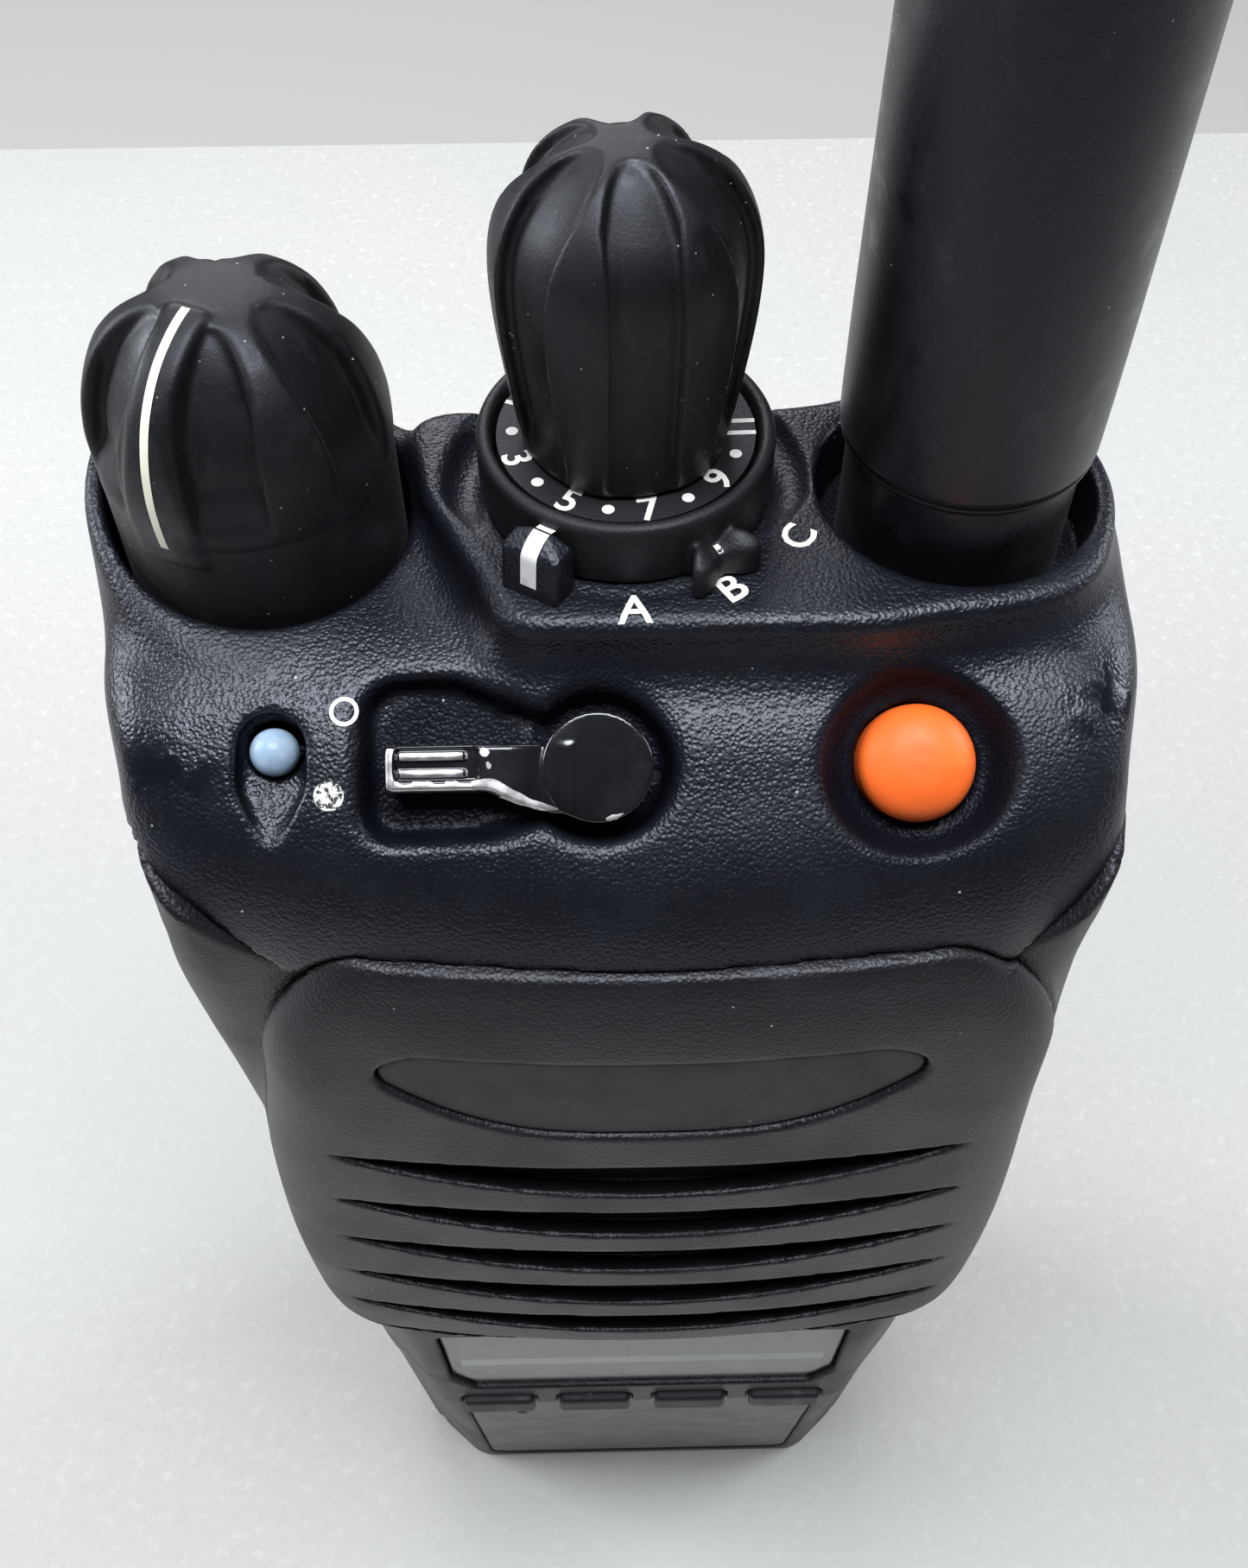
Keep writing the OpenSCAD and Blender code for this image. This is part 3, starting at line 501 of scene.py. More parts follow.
def front_case(p):
    x, y, z = p.T
    form = housing(p)
    shell = np.maximum(form, -(form + WALL))
    shell = carve(shell, slits(p, -form), 0.35)
    shell = carve(shell, smooth_max(PLATE(x, z), -1.1 - bulge_form(p), 0.2), 0.3)
    face = y + 14
    shell = carve(shell, np.maximum(WINDOW(x, z), face), 0.35)
    for kx in KEY_XS:
        shell = carve(shell, np.maximum(block([x - kx, z - KEY_Z], [3.5, 1.7], 0.6), face), 0.3)
    shell = carve(shell, smooth_max(LOWER_PANEL(x, z), -0.9 - form, 0.2), 0.25)
    shell = np.maximum(shell, 0.6 - np.hypot(x - MIC_X, z - MIC_Z))
    shell = smooth_max(shell, IN_FRONT(y, z) + 0.1, 0.5)
    return smooth_max(shell, z - seam_height(x, y) + 0.06, 0.3)


BAY_Y = low("battery_case")[1] - 0.2
BAY_Z = high("battery_case")[2] + 0.3
HUMP = Outline([(-27.5, -2, 0), (27.5, -2, 0), (27.5, 13.2, 5), (-27.5, 13.2, 5)])


def rear_case(p):
    x, y, z = p.T
    body = smooth_max(housing(p), y - BAY_Y, 1.0)
    hump = smooth_max(HUMP(x, y), BAY_Z - z, 0.8)
    form = smooth_min(body, hump, 0.6)
    room = np.maximum.reduce([form + WALL, -(z - WALL)])
    form = np.maximum(form, -room)
    for key in ("side_key_upper", "side_key_lower"):
        mid = middle(key)
        form = carve(form, np.maximum(np.hypot(y - mid[1], z - mid[2]) - 3.35, x + 20), 0.3)
    mid = middle("ptt_button")
    form = carve(form, np.maximum(block([y - PTT_Y, z - mid[2]], [4.65, 16.15], 1.6), x + 20), 0.3)
    form = carve(form, block([x - 28, y - COVER_Y, z - COVER_Z], [3.1, 6.0, 14.0], 0.8), 0.3)
    form = np.maximum(form, -block([x, y, z - COVER_Z], [9, 4, 4], 0.3))
    form = smooth_max(form, 0.1 - IN_FRONT(y, z), 0.5)
    return smooth_max(form, z - seam_height(x, y) + 0.06, 0.3)


BATTERY = Outline([(-25.5, 1.2, 0), (25.5, 1.2, 0), (25.5, 15, 5.5), (-25.5, 15, 5.5)])


def battery(p):
    x, y, z = p.T
    form = smooth_max(smooth_max(BATTERY(x, y), z - BAY_Z + 0.3, 1.6), -z, 1.2)
    clips = [np.hypot(x - side * CLIP_X, z - CLIP_Z) for side in (-1, 1)]
    posts = np.min(clips, 0) - 3.6
    form = np.maximum(form, -np.maximum(form + WALL, -np.maximum(posts, 10.5 - y)))
    for clip in clips:
        form = np.maximum(form, -np.maximum(clip - 2.1, 10.9 - y))
        # Grip grooves down both edges of the back.
        for k in range(6):
            groove = np.hypot(y - 15.3, z - 44 - 5 * k) - 0.9
            form = carve(form, np.maximum(groove, np.abs(np.abs(x) - 15) - 4.5), 0.3)
    # Shallow panel for a rating label, left blank.
    form = carve(form, block([x, y - 15.2, z - 58], [9.5, 0.45, 20], 0.4), 0.2)
    pocket = block([x, y - 15.8, z - 10.2], [10.2, 2.4, 6.2], 0.5)
    return carve(form, pocket, 0.3)


# ---- Knobs and controls ----

FLUTES = 6


def fluted(body, p, axis, first, half, depth, tip, foot, edge):
    """Cuts flutes into a turned body: pointed on top at radius tip, closed at height foot."""
    x, y, z = p[:, 0] - axis[0], p[:, 1] - axis[1], p[:, 2]
    r, turn = np.hypot(x, y), np.arctan2(y, x) - math.radians(first)
    pitch = 2 * math.pi / FLUTES
    lateral = r * np.sin(turn - pitch * np.round(turn / pitch))
    width = half * np.sqrt(np.clip((r - tip) / 3.2, 0, 1)) - np.clip(tip - r, 0, None)
    deep = depth * step_up(z, foot, foot + 3) * step_up(r, tip - 1, tip + 3)
    pocket = smooth_max(np.abs(lateral) - width, -body - deep, 0.4)
    return carve(body, smooth_max(pocket, foot - z, 1.6), edge)


VOLUME_BODY = revolved(np.vstack([
    smooth_curve([(0, 151.8), (2, 151.7), (3.6, 151.25), (5.2, 150.3), (6.6, 148.7), (7.5, 146.7),
                  (7.9, 144.8), (7.97, 143.4), (7.93, 142.2), (7.85, 141.5)]),
    [(7.79, 141.4), (7.79, 141.3), (7.85, 141.2), (7.85, 134.2), (7.5, 133.6), (0, 133.6)]]))
POINTER_AT = math.radians(-114.5)


def volume_knob(p):
    r = from_axis(p, VOLUME)
    ahead, lateral, z = around(p, VOLUME, POINTER_AT)
    body = VOLUME_BODY(r, z)
    form = fluted(body, p, VOLUME, -88, 1.95, 1.2, 2.8, 141.9, 0.6)
    width = 1.2 + 0.9 * step_up(-z, -150, -141)
    rib = smooth_max(smooth_max(np.abs(lateral) - width, body - 0.32, 0.45), 140.3 - z, 0.3)
    rib = smooth_max(rib, 1.6 - ahead, 0.5)
    form = smooth_min(form, rib, 0.35)
    room = np.minimum(np.maximum(r - 3, z - 147.6), np.maximum(r - 6, z - 137.2))
    return np.maximum(form, -room)


SELECTOR_BODY = revolved(np.vstack([
    smooth_curve([(0, 159.6), (1.8, 159.5), (3.3, 159.05), (4.8, 158), (5.9, 156.6), (6.5, 155),
                  (6.7, 153.2), (6.6, 150.6), (6.25, 147.4), (5.85, 144.6), (5.6, 143)]),
    [(5.5, 142.75), (5.3, 142.65), (0, 142.65)]]))


def selector_knob(p):
    r, z = from_axis(p, RING), p[:, 2]
    form = fluted(SELECTOR_BODY(r, z), p, RING, -82, 1.75, 0.8, 1.5, 142.0, 0.25)
    return np.maximum(form, -np.maximum(r - 3, z - 156))


RING_LOW = PLATEAU + 0.1
RING_TOP = high("ring_switch")[2]
RING_BODY = Outline([(4.05, RING_LOW, 0.1), (8.05, RING_LOW, 0.25), (8.05, RING_TOP, 0.45),
                     (7.35, RING_TOP, 0.25), (7.12, RING_TOP - 0.7, 0.1), (7.12, RING_LOW + 1.5, 0),
                     (4.05, RING_LOW + 1.5, 0.1)], 0.04)
TAB_AT = math.radians(-57)


def ring_switch(p):
    out, side, z = around(p, RING, TAB_AT)
    form = RING_BODY(from_axis(p, RING), z)
    # A short bow of two lobes with a pinched middle.
    middle_dip = np.exp(-(side / 0.8) ** 2)
    half = 1.35 + 0.75 * step_up(out, 8.0, 9.4)
    roof = RING_LOW + 2.35 - 0.75 * middle_dip - 0.5 * step_up(out, 8.4, 9.9)
    reach = 9.75 - 0.75 * middle_dip
    tab = smooth_max(np.abs(side) - half, z - roof, 0.5)
    tab = smooth_max(smooth_max(tab, out - reach, 0.4), RING_LOW - z, 0.1)
    return smooth_min(form, np.maximum(tab, 7.6 - out), 0.3)


BLOCK_AT = math.radians(-121)
BLOCK_TOP = middle("ring_switch")[2] + 1.35


def pointer_block(p):
    """A post with two chamfered wings; its outer face leans out towards the foot."""
    out, side, z = around(p, RING, BLOCK_AT)
    foot = PLATEAU - 2.6
    face = (out - 9.9 + 0.1 * (z - BLOCK_TOP)) * 0.99
    form = smooth_max(np.maximum(np.abs(side) - 1.72, 8.37 - out), face, 0.35)
    wing = (z - BLOCK_TOP + 0.45 * np.clip(np.abs(side) - 0.55, 0, None)) * 0.9
    nose = (z - BLOCK_TOP + 0.2 + 0.7 * (out - 9.4)) * 0.82
    return smooth_max(smooth_max(form, foot - z, 0.2), smooth_max(wing, nose, 0.3), 0.25)


ARM = Outline([(-11.15, -1.25, 0.35), (-11.15, 1.22, 0.35), (-5.9, 1.22, 1.5), (-4.2, 1.95, 2),
               (-2.4, 2.4, 1), (-1.3, 2.45), (-1.3, -1.25)], 0.04)
ARM_TOP = 0.25


def lever(p):
    a, s, h = deck_frame(p, LEVER)
    hub = block([np.hypot(a, s), h + 0.6], [2.9, 1.75], 0.18)
    dome = h - 1.12 - 0.10 * (1 - (np.hypot(a, s) / 2.9) ** 2)
    hub = smooth_max(hub, dome, 0.15)
    roof = ARM_TOP + 0.95 * step_up(a, -4.9, -0.9)
    arm = smooth_max(ARM(a, s), h - roof, 0.3)
    arm = np.maximum(arm, -1.45 - h)
    # Shallow pad near the tip, framed by its rim.
    pad = np.maximum(block([a + 8.45, s + 0.24], [2.2, 0.86], 0.3), ARM_TOP - 0.3 - h)
    bars = block([a + 8.72, np.abs(s + 0.24) - 0.45, h - ARM_TOP + 0.3], [1.78, 0.21, 0.26], 0.12)
    form = np.minimum(carve(smooth_min(hub, arm, 0.25), pad, 0.08), bars)
    return np.minimum(form, np.maximum(np.hypot(a, s) - 1.5, np.abs(h + 3.9) - 2.5))


BUTTON_BODY = revolved(np.vstack([
    smooth_curve([(0, 0.85), (1.3, 0.72), (2.3, 0.28), (2.9, -0.35), (3.15, -1.1)]),
    [(3.15, -3.9), (3.85, -3.9), (3.85, -4.7), (0, -4.7)]]), 0.04)


def alert_button(p):
    a, s, h = deck_frame(p, ALERT_AT)
    return BUTTON_BODY(np.hypot(a, s), h)


def status_lens(p):
    a, s, h = deck_frame(p, LENS_AT)
    r = np.hypot(a, s)
    return smooth_max(np.maximum(r - 1.28, -3.2 - h), np.sqrt(a * a + s * s + (h + 1.25) ** 2) - 1.35, 0.1)


# ---- Sides and front trim ----

def ptt_button(p):
    x, y, z = p.T
    mid = middle("ptt_button")[2]
    form = block([x + 26.3, y - PTT_Y, z - mid], [2.1, 4.5, 16], 1.4)
    crown = (x + 28.4 - 0.045 * (y - PTT_Y) ** 2 / 2) * -1
    form = smooth_max(form, crown, 0.4)
    for k in range(-3, 4):
        groove = np.hypot(x + 28.75, z - mid - 3.2 * k) - 0.75
        form = carve(form, np.maximum(groove, np.abs(y - PTT_Y) - 2.6), 0.3)
    flange = block([x + 24.35, y + 6.4, z - mid], [0.45, 4.6, 17], 0.2)
    return np.minimum(form, flange)


def side_key(node):
    mid = middle(node)
    left = low(node)[0]

    def shape(p):
        x, y, z = p[:, 0], p[:, 1] - mid[1], p[:, 2] - mid[2]
        r = np.hypot(y, z)
        form = block([r, x - left - 1.8], [3.2, 1.8], 0.6)
        form = carve(form, np.sqrt(y * y + z * z + (x - left + 3.2) ** 2) - 3.6, 0.3)
        return np.minimum(form, block([r, x - left - 3.2], [3.8, 0.4], 0.15))
    return shape


def accessory_cover(p):
    x, y, z = p.T
    form = block([x - 26.9, y - COVER_Y, z - COVER_Z], [1.4, 5.8, 13.8], 1.1)
    # The screw's seat and hole, and a thumb scallop.
    screw = np.hypot(y - COVER_Y, z - COVER_SCREW_Z)
    form = carve(form, np.maximum(screw - 2.7, 27.55 - x), 0.2)
    form = carve(form, np.maximum(screw - 1.3, 20 - x), 0.1)
    return carve(form, np.sqrt((x - 34.5) ** 2 + (y - COVER_Y) ** 2 + (z - 95) ** 2) - 7.1, 0.5)


def front_key(i):
    def shape(p):
        x, y, z = p[:, 0] - KEY_XS[i], p[:, 1], p[:, 2] - KEY_Z
        front = low("front_key_1")[1]
        form = block([x, y - front - 1.65, z], [3.35, 1.65, 1.55], 0.5)
        # A raised dot to find the key by touch.
        form = smooth_min(form, np.sqrt(x * x + (y - front - 0.3) ** 2 + z * z) - 0.55, 0.15)
        form = np.maximum(form, front - y)
        return np.minimum(form, block([x, y - front - 3.25, z], [3.9, 0.6, 2.1], 0.2))
    return shape


def name_plate(p):
    form = bulge_form(p)
    return smooth_max(smooth_max(PLATE(p[:, 0], p[:, 2]) + 0.1, form + 0.32, 0.35), -1.05 - form, 0.1)


def lower_panel(p):
    form = housing(p)
    slab = smooth_max(LOWER_PANEL(p[:, 0], p[:, 2]) + 0.1, form + 0.12, 0.35)
    slab = smooth_max(slab, -0.88 - form, 0.1)
    return np.maximum(slab, 0.5 - np.hypot(p[:, 0] - MIC_X, p[:, 2] - MIC_Z))


def display_window(p):
    x, y, z = p.T
    front = low("display_window")[1]
    return smooth_max(smooth_max(WINDOW(x, z) + 0.1, front - y, 0.35), y - front - 1, 0.1)


def speaker_mesh(p):
    x, y, z = p.T
    form = housing(p)
    cloth = np.maximum(form + WALL + 0.35, -form - WALL - 0.85)
    return np.maximum(cloth, block([x, y + 30, z - SLIT_TOP + 17.5], [24, 9.5, 21], 0.5))


def battery_latch(p):
    x, y, z = p.T
    lo, hi = low("battery_latch"), high("battery_latch")
    mid = (lo + hi) / 2
    form = block([x - mid[0], y - lo[1] - 0.75, z - mid[2]], [10, 0.75, (hi[2] - lo[2]) / 2], 0.5)
    for k in range(4):
        ridge = block([x - mid[0], y - hi[1] + 0.3, z - lo[2] - 2.4 - 1.8 * k], [7, 0.3, 0.4], 0.25)
        form = smooth_min(form, ridge, 0.2)
    return form


# ---- Materials ----

BLACKEST = 0.012


def scaled(color, times, plus=0.0):
    return tuple(c * times + plus for c in color)


class Material:
    """A shader with short calls for the nodes that colour, roughen and emboss it."""

    def __init__(self, name, color, rough, metal=0.0, coat=0.0, ior=1.5, sheen=0.0):
        self.material = bpy.data.materials.new(name)
        self.material.use_nodes = True
        tree = self.material.node_tree
        self.nodes, self.links = tree.nodes, tree.links
        self.shader = self.nodes["Principled BSDF"]
        for socket, value in (("Base Color", (*color, 1)), ("Roughness", rough), ("Metallic", metal),
                              ("IOR", ior), ("Coat Weight", coat), ("Coat Roughness", 0.08),
                              ("Sheen Weight", sheen)):
            self.set(socket, value)
        # The black mouldings shine slightly blue.
        if max(color) < BLACKEST:
            self.set("Specular Tint", (0.86, 0.89, 1.0, 1))
            self.set("Specular IOR Level", 0.6)
        self.coords = self.nodes.new("ShaderNodeTexCoord").outputs["Object"]
        self.color, self.rough = color, rough
        self.normal = None

    def set(self, socket, value):
        self.shader.inputs[socket].default_value = value

    def add(self, kind, **settings):
        node = self.nodes.new(kind)
        for key, value in settings.items():
            if key in node.inputs:
                node.inputs[key].default_value = value
            else:
                setattr(node, key, value)
        return node

    def feed(self, socket, value):
        """Sets a socket from a number or colour, or links it to another node's output."""
        if isinstance(value, tuple):
            socket.default_value = (*value, 1)
        elif isinstance(value, (int, float)):
            socket.default_value = value
        else:
            self.links.new(value, socket)

    def axis(self, letter):
        """One of the object's own coordinates, in metres."""
        split = self.add("ShaderNodeSeparateXYZ")
        self.links.new(self.coords, split.inputs[0])
        return split.outputs[letter]

    def noise(self, size, detail=2.0, roughness=0.5, stretch=(1, 1, 1)):
        """Noise from 0 to 1 whose features are about size millimetres wide."""
        place = self.add("ShaderNodeMapping")
        place.inputs["Scale"].default_value = stretch
        node = self.add("ShaderNodeTexNoise", Scale=1 / (size * MM), Detail=detail, Roughness=roughness)
        self.links.new(self.coords, place.inputs["Vector"])
        self.links.new(place.outputs[0], node.inputs["Vector"])
        return node.outputs["Fac"]

    def cells(self, size):
        node = self.add("ShaderNodeTexVoronoi", Scale=1 / (size * MM))
        self.links.new(self.coords, node.inputs["Vector"])
        return node

    def ramp(self, value, a, b, low=0.0, high=1.0):
        """low where value is under a, high over b."""
        node = self.add("ShaderNodeMapRange", interpolation_type="SMOOTHSTEP")
        for key, v in (("From Min", a), ("From Max", b), ("To Min", low), ("To Max", high)):
            node.inputs[key].default_value = v
        self.links.new(value, node.inputs["Value"])
        return node.outputs["Result"]

    def math(self, operation, a, b=0.5):
        node = self.add("ShaderNodeMath", operation=operation)
        for socket, value in zip(node.inputs, (a, b)):
            self.feed(socket, value)
        return node.outputs[0]

    def mix(self, factor, a, b):
        node = self.add("ShaderNodeMix", data_type="RGBA")
        self.links.new(factor, node.inputs["Factor"])
        self.feed(node.inputs[6], a)
        self.feed(node.inputs[7], b)
        return node.outputs[2]

    def bump(self, height, depth):
        """Embosses by height (0 to 1) times depth millimetres."""
        node = self.add("ShaderNodeBump", Distance=depth * MM)
        self.links.new(height, node.inputs["Height"])
        if self.normal is not None:
            self.links.new(self.normal, node.inputs["Normal"])
        self.normal = node.outputs[0]
        self.links.new(self.normal, self.shader.inputs["Normal"])
        return self

    def near(self, point, radius, soft):
        """1 within radius of a point, fading to 0 over soft, all in millimetres."""
        node = self.add("ShaderNodeVectorMath", operation="DISTANCE")
        node.inputs[1].default_value = Vector(point) * MM
        self.links.new(self.coords, node.inputs[0])
        return self.ramp(node.outputs["Value"], radius * MM, (radius + soft) * MM, 1, 0)

    def near_any(self, places):
        """The same for the nearest of several places, each (point, radius, soft)."""
        found = self.near(*places[0])
        for place in places[1:]:
            found = self.math("MAXIMUM", found, self.near(*place))
        return found

    def paint(self, color, factor):
        """Mixes a colour in and keeps the result for the next call."""
        self.color = self.mix(factor, self.color, color)
        self.links.new(self.color, self.shader.inputs["Base Color"])
        return self

    def gloss(self, rough, factor):
        node = self.add("ShaderNodeMix", data_type="FLOAT")
        self.links.new(factor, node.inputs["Factor"])
        self.feed(node.inputs[2], self.rough)
        self.feed(node.inputs[3], rough)
        self.rough = node.outputs[0]
        self.links.new(self.rough, self.shader.inputs["Roughness"])
        return self

    def dust(self, size, share, color=(0.45, 0.45, 0.44)):
        """Fine pale specks, one in some of the cells."""
        cell = self.cells(size)
        spot = self.ramp(cell.outputs["Distance"], 0.045, 0.085, 1, 0)
        pick = self.add("ShaderNodeSeparateColor")
        self.links.new(cell.outputs["Color"], pick.inputs[0])
        chosen = self.ramp(pick.outputs[0], 1 - share, 1 - share + 0.01)
        return self.paint(color, self.math("MULTIPLY", spot, chosen))


def grained_plastic(name, color, rough, depth=0.06, size=0.27, dust=0.12, worn=(), dull=()):
    """Moulded plastic with a fine leather grain, a little dust, and places rubbed smooth."""
    m = Material(name, color, rough, ior=1.44)
    grain = m.math("ADD", m.math("MULTIPLY", m.noise(size, 3, 0.55), 0.7),
                   m.math("MULTIPLY", m.ramp(m.cells(size * 0.9).outputs["Distance"], 0.05, 0.75), 0.45))
    if worn:
        rubbed = m.math("MULTIPLY", m.near_any(worn), m.ramp(m.noise(2.2, 3), 0.38, 0.62))
        grain = m.math("MULTIPLY", grain, m.ramp(rubbed, 0, 1, 1, 0.12))
    m.bump(grain, depth)
    m.bump(m.noise(7, 2), 0.02)
    m.paint(scaled(color, 1.7), m.ramp(m.noise(5, 4, 0.6), 0.45, 0.75))
    m.gloss(rough + 0.1, m.ramp(m.noise(9, 3), 0.4, 0.7))
    if worn:
        m.gloss(0.16, rubbed)
    if dull:
        m.links.new(m.ramp(m.near_any(dull), 0, 1, 0.66, 0.16), m.shader.inputs["Specular IOR Level"])
    if dust:
        m.dust(1.1, dust)
    return m.material


def smooth_plastic(name, color, rough, coat=0.0, dust=0.0, haze=0.08):
    """Polished or painted plastic with faint swirls and finger haze."""
    m = Material(name, color, rough, coat=coat)
    m.bump(m.noise(0.25, 2), 0.006)
    m.bump(m.noise(6, 2), 0.03)
    m.gloss(rough + haze, m.ramp(m.noise(3.5, 4, 0.65), 0.42, 0.68))
    m.paint(scaled(color, 1.35, 0.002), m.ramp(m.noise(4, 3), 0.4, 0.8))
    if dust:
        m.dust(1.2, dust)
    return m.material


def soft_rubber(name, color, rough, dust=0.3):
    """Soft-touch rubber: matt, with lint, faint rub marks and a slight sheen."""
    m = Material(name, color, rough, ior=1.45, sheen=0.03)
    m.set("Sheen Roughness", 0.4)
    m.bump(m.noise(0.16, 2), 0.014)
    m.bump(m.noise(1.4, 3), 0.02)
    m.gloss(rough - 0.16, m.ramp(m.noise(2.8, 4, 0.6), 0.5, 0.72))
    m.paint(scaled(color, 2.0, 0.004), m.ramp(m.noise(1.5, 5, 0.7, (1, 1, 0.35)), 0.52, 0.72))
    if dust:
        m.dust(0.8, dust)
    return m.material


def metal(name, color, rough, lay=(1, 1, 0.1)):
    """Turned or plated metal with fine lines and dull spots."""
    m = Material(name, color, rough, metal=1.0)
    m.bump(m.noise(0.2, 2, 0.5, lay), 0.006)
    m.gloss(rough + 0.18, m.ramp(m.noise(1.2, 4), 0.45, 0.7))
    m.paint(scaled(color, 0.7), m.ramp(m.noise(2.0, 4), 0.5, 0.75))
    return m.material


def print_white(name, color=(0.82, 0.82, 0.80), gone=0.0, under=(0.02, 0.02, 0.022)):
    """Pad-printed or filled white paint; gone is how much has rubbed off."""
    m = Material(name, color, 0.5)
    m.bump(m.noise(0.15, 2), 0.006)
    m.paint(scaled(color, 0.82), m.ramp(m.noise(0.7, 4), 0.5, 0.75))
    if gone:
        m.paint(under, m.ramp(m.noise(0.28, 5, 0.7), 0.56 - gone * 0.16, 0.60 - gone * 0.16))
    return m.material


THREAD = 0.5


def woven_cloth(name, color):
    m = Material(name, color, 0.85, sheen=0.2)
    threads = []
    for way in "XZ":
        wave = m.add("ShaderNodeTexWave", Scale=1 / (THREAD * MM), bands_direction=way, Distortion=0.3)
        m.links.new(m.coords, wave.inputs["Vector"])
        threads.append(wave.outputs["Fac"])
    weave = m.math("MAXIMUM", *threads)
    m.bump(weave, 0.08)
    m.paint(scaled(color, 2.2), weave)
    return m.material


def display(name):
    """A switched-off liquid crystal under a clear window, with a lighter band along its top."""
    m = Material(name, (0.09, 0.088, 0.102), 0.3, coat=0.5)
    height, side = m.axis("Z"), m.math("ABSOLUTE", m.axis("X"))
    top, foot = high("display_window")[2], low("display_window")[2]
    frame_black = (0.035, 0.037, 0.043)
    band = m.math("MULTIPLY", m.ramp(height, (top - 9.2) * MM, (top - 8.8) * MM),
                  m.ramp(height, (top - 7.6) * MM, (top - 7.2) * MM, 1, 0))
    m.paint((0.3, 0.31, 0.33), band)
    m.paint(frame_black, m.ramp(height, (foot + 1.6) * MM, (foot + 1.9) * MM, 1, 0))
    m.paint(frame_black, m.ramp(side, 16.2 * MM, 16.5 * MM))
    m.paint((0.075, 0.08, 0.095), m.ramp(m.noise(8, 3), 0.45, 0.8, 0, 0.5))
    m.bump(m.noise(0.5, 2), 0.004)
    m.gloss(0.5, m.ramp(m.noise(1.5, 5, 0.7), 0.55, 0.75))
    return m.material


def light_pipe(name):
    m = Material(name, (0.30, 0.42, 0.58), 0.45, coat=0.1)
    m.set("Subsurface Weight", 0.25)
    m.set("Subsurface Radius", (0.5 * MM, 0.8 * MM, 1.2 * MM))
    m.paint((0.38, 0.50, 0.64), m.ramp(m.noise(0.8, 3), 0.4, 0.7))
    m.bump(m.noise(0.3, 2), 0.01)
    return m.material


def board(name, color):
    m = Material(name, color, 0.4, coat=0.4)
    m.paint(scaled(color, 1.8), m.ramp(m.cells(2.5).outputs["Distance"], 0.3, 0.32))
    m.bump(m.noise(0.6, 2), 0.02)
    return m.material


# Spots of (point, radius, soft edge): hollows that don't shine, and places rubbed smooth.
DULL = ((ALERT_AT, 4.9, 1.0), (on_deck(LEVER, -8, 0.3, -2.5), 3.9, 1.2),
        (on_deck(LEVER, 0, 0, -2), 3.8, 0.6))
RUBBED = ((on_deck(LEVER, -22.5, 0.2, -1.0), 1.2, 3.2), ((-17.1, -19.2, SEAM + 2), 0.5, 2.5),
          ((-20, -20, CHIN + 2), 1, 4), ((24, -12, PLATEAU - 4), 1, 3.5))
MATERIALS = {made.name.split(".")[0]: made for made in (
    grained_plastic("case_black", (0.0046, 0.0053, 0.0090), 0.34, dull=DULL, worn=RUBBED),
    grained_plastic("case_lower", (0.0092, 0.0088, 0.0104), 0.42, 0.055, dust=0.06),
    grained_plastic("battery_black", (0.0095, 0.0096, 0.0105), 0.5, 0.04, dust=0.05),
    soft_rubber("knob_rubber", (0.0040, 0.0041, 0.0047), 0.52, 0.5),
    soft_rubber("key_black", (0.010, 0.010, 0.011), 0.6, 0.1),
    soft_rubber("seal_rubber", (0.03, 0.03, 0.032), 0.7, 0),
    grained_plastic("dial_black", (0.008, 0.0082, 0.009), 0.5, 0.02, 0.2, 0.15),
    smooth_plastic("plate_black", (0.0048, 0.0044, 0.0052), 0.52, dust=0.05),
    smooth_plastic("panel_grey", (0.10, 0.101, 0.106), 0.42),
    smooth_plastic("lever_gloss", (0.0035, 0.0035, 0.0042), 0.2, coat=0.5, dust=0.1),
    smooth_plastic("alert_orange", (0.96, 0.15, 0.018), 0.5),
    soft_rubber("antenna_black", (0.0036, 0.0039, 0.0056), 0.40, 0.1),
    light_pipe("lens_white"),
    display("window_clear"),
    smooth_plastic("display_grey", (0.2, 0.21, 0.22), 0.3),
    woven_cloth("mesh_cloth", (0.006, 0.006, 0.0065)),
    smooth_plastic("cone_black", (0.02, 0.02, 0.02), 0.5),
    metal("magnet_grey", (0.25, 0.25, 0.26), 0.4),
    smooth_plastic("switch_cream", (0.6, 0.58, 0.52), 0.45),
    metal("steel", (0.55, 0.55, 0.56), 0.28),
    metal("shield_metal", (0.62, 0.62, 0.62), 0.3, (1, 1, 1)),
    metal("contact_gold", (0.80, 0.58, 0.25), 0.25),
    board("board_green", (0.015, 0.09, 0.035)),
    smooth_plastic("cell_blue", (0.05, 0.12, 0.3), 0.35),
)}
PRINT = print_white("print_white", (0.92, 0.92, 0.90))
PRINT_WORN = print_white("print_worn", gone=0.45)
POINTER_PRINT = print_white("pointer_print", (0.90, 0.92, 0.76))
WORN_METAL = metal("worn_metal", (0.93, 0.91, 0.94), 0.34)


# ---- Pieces made by meshing the shapes ----

for name, node in frame["nodes"].items():
    for i, old in enumerate(node.data.materials):
        node.data.materials[i] = MATERIALS[old.name.split(".")[0]]


def stand_in(node, shape, pitch, slot, body="radio", look=None, grow=1.2):
    """A detailed piece in the place of one CAD node."""
    piece = skin(node + "_skin", shape, low(node) - grow, high(node) + grow, pitch)
    return dress(piece, MATERIALS[look or slot], body, slot, node)


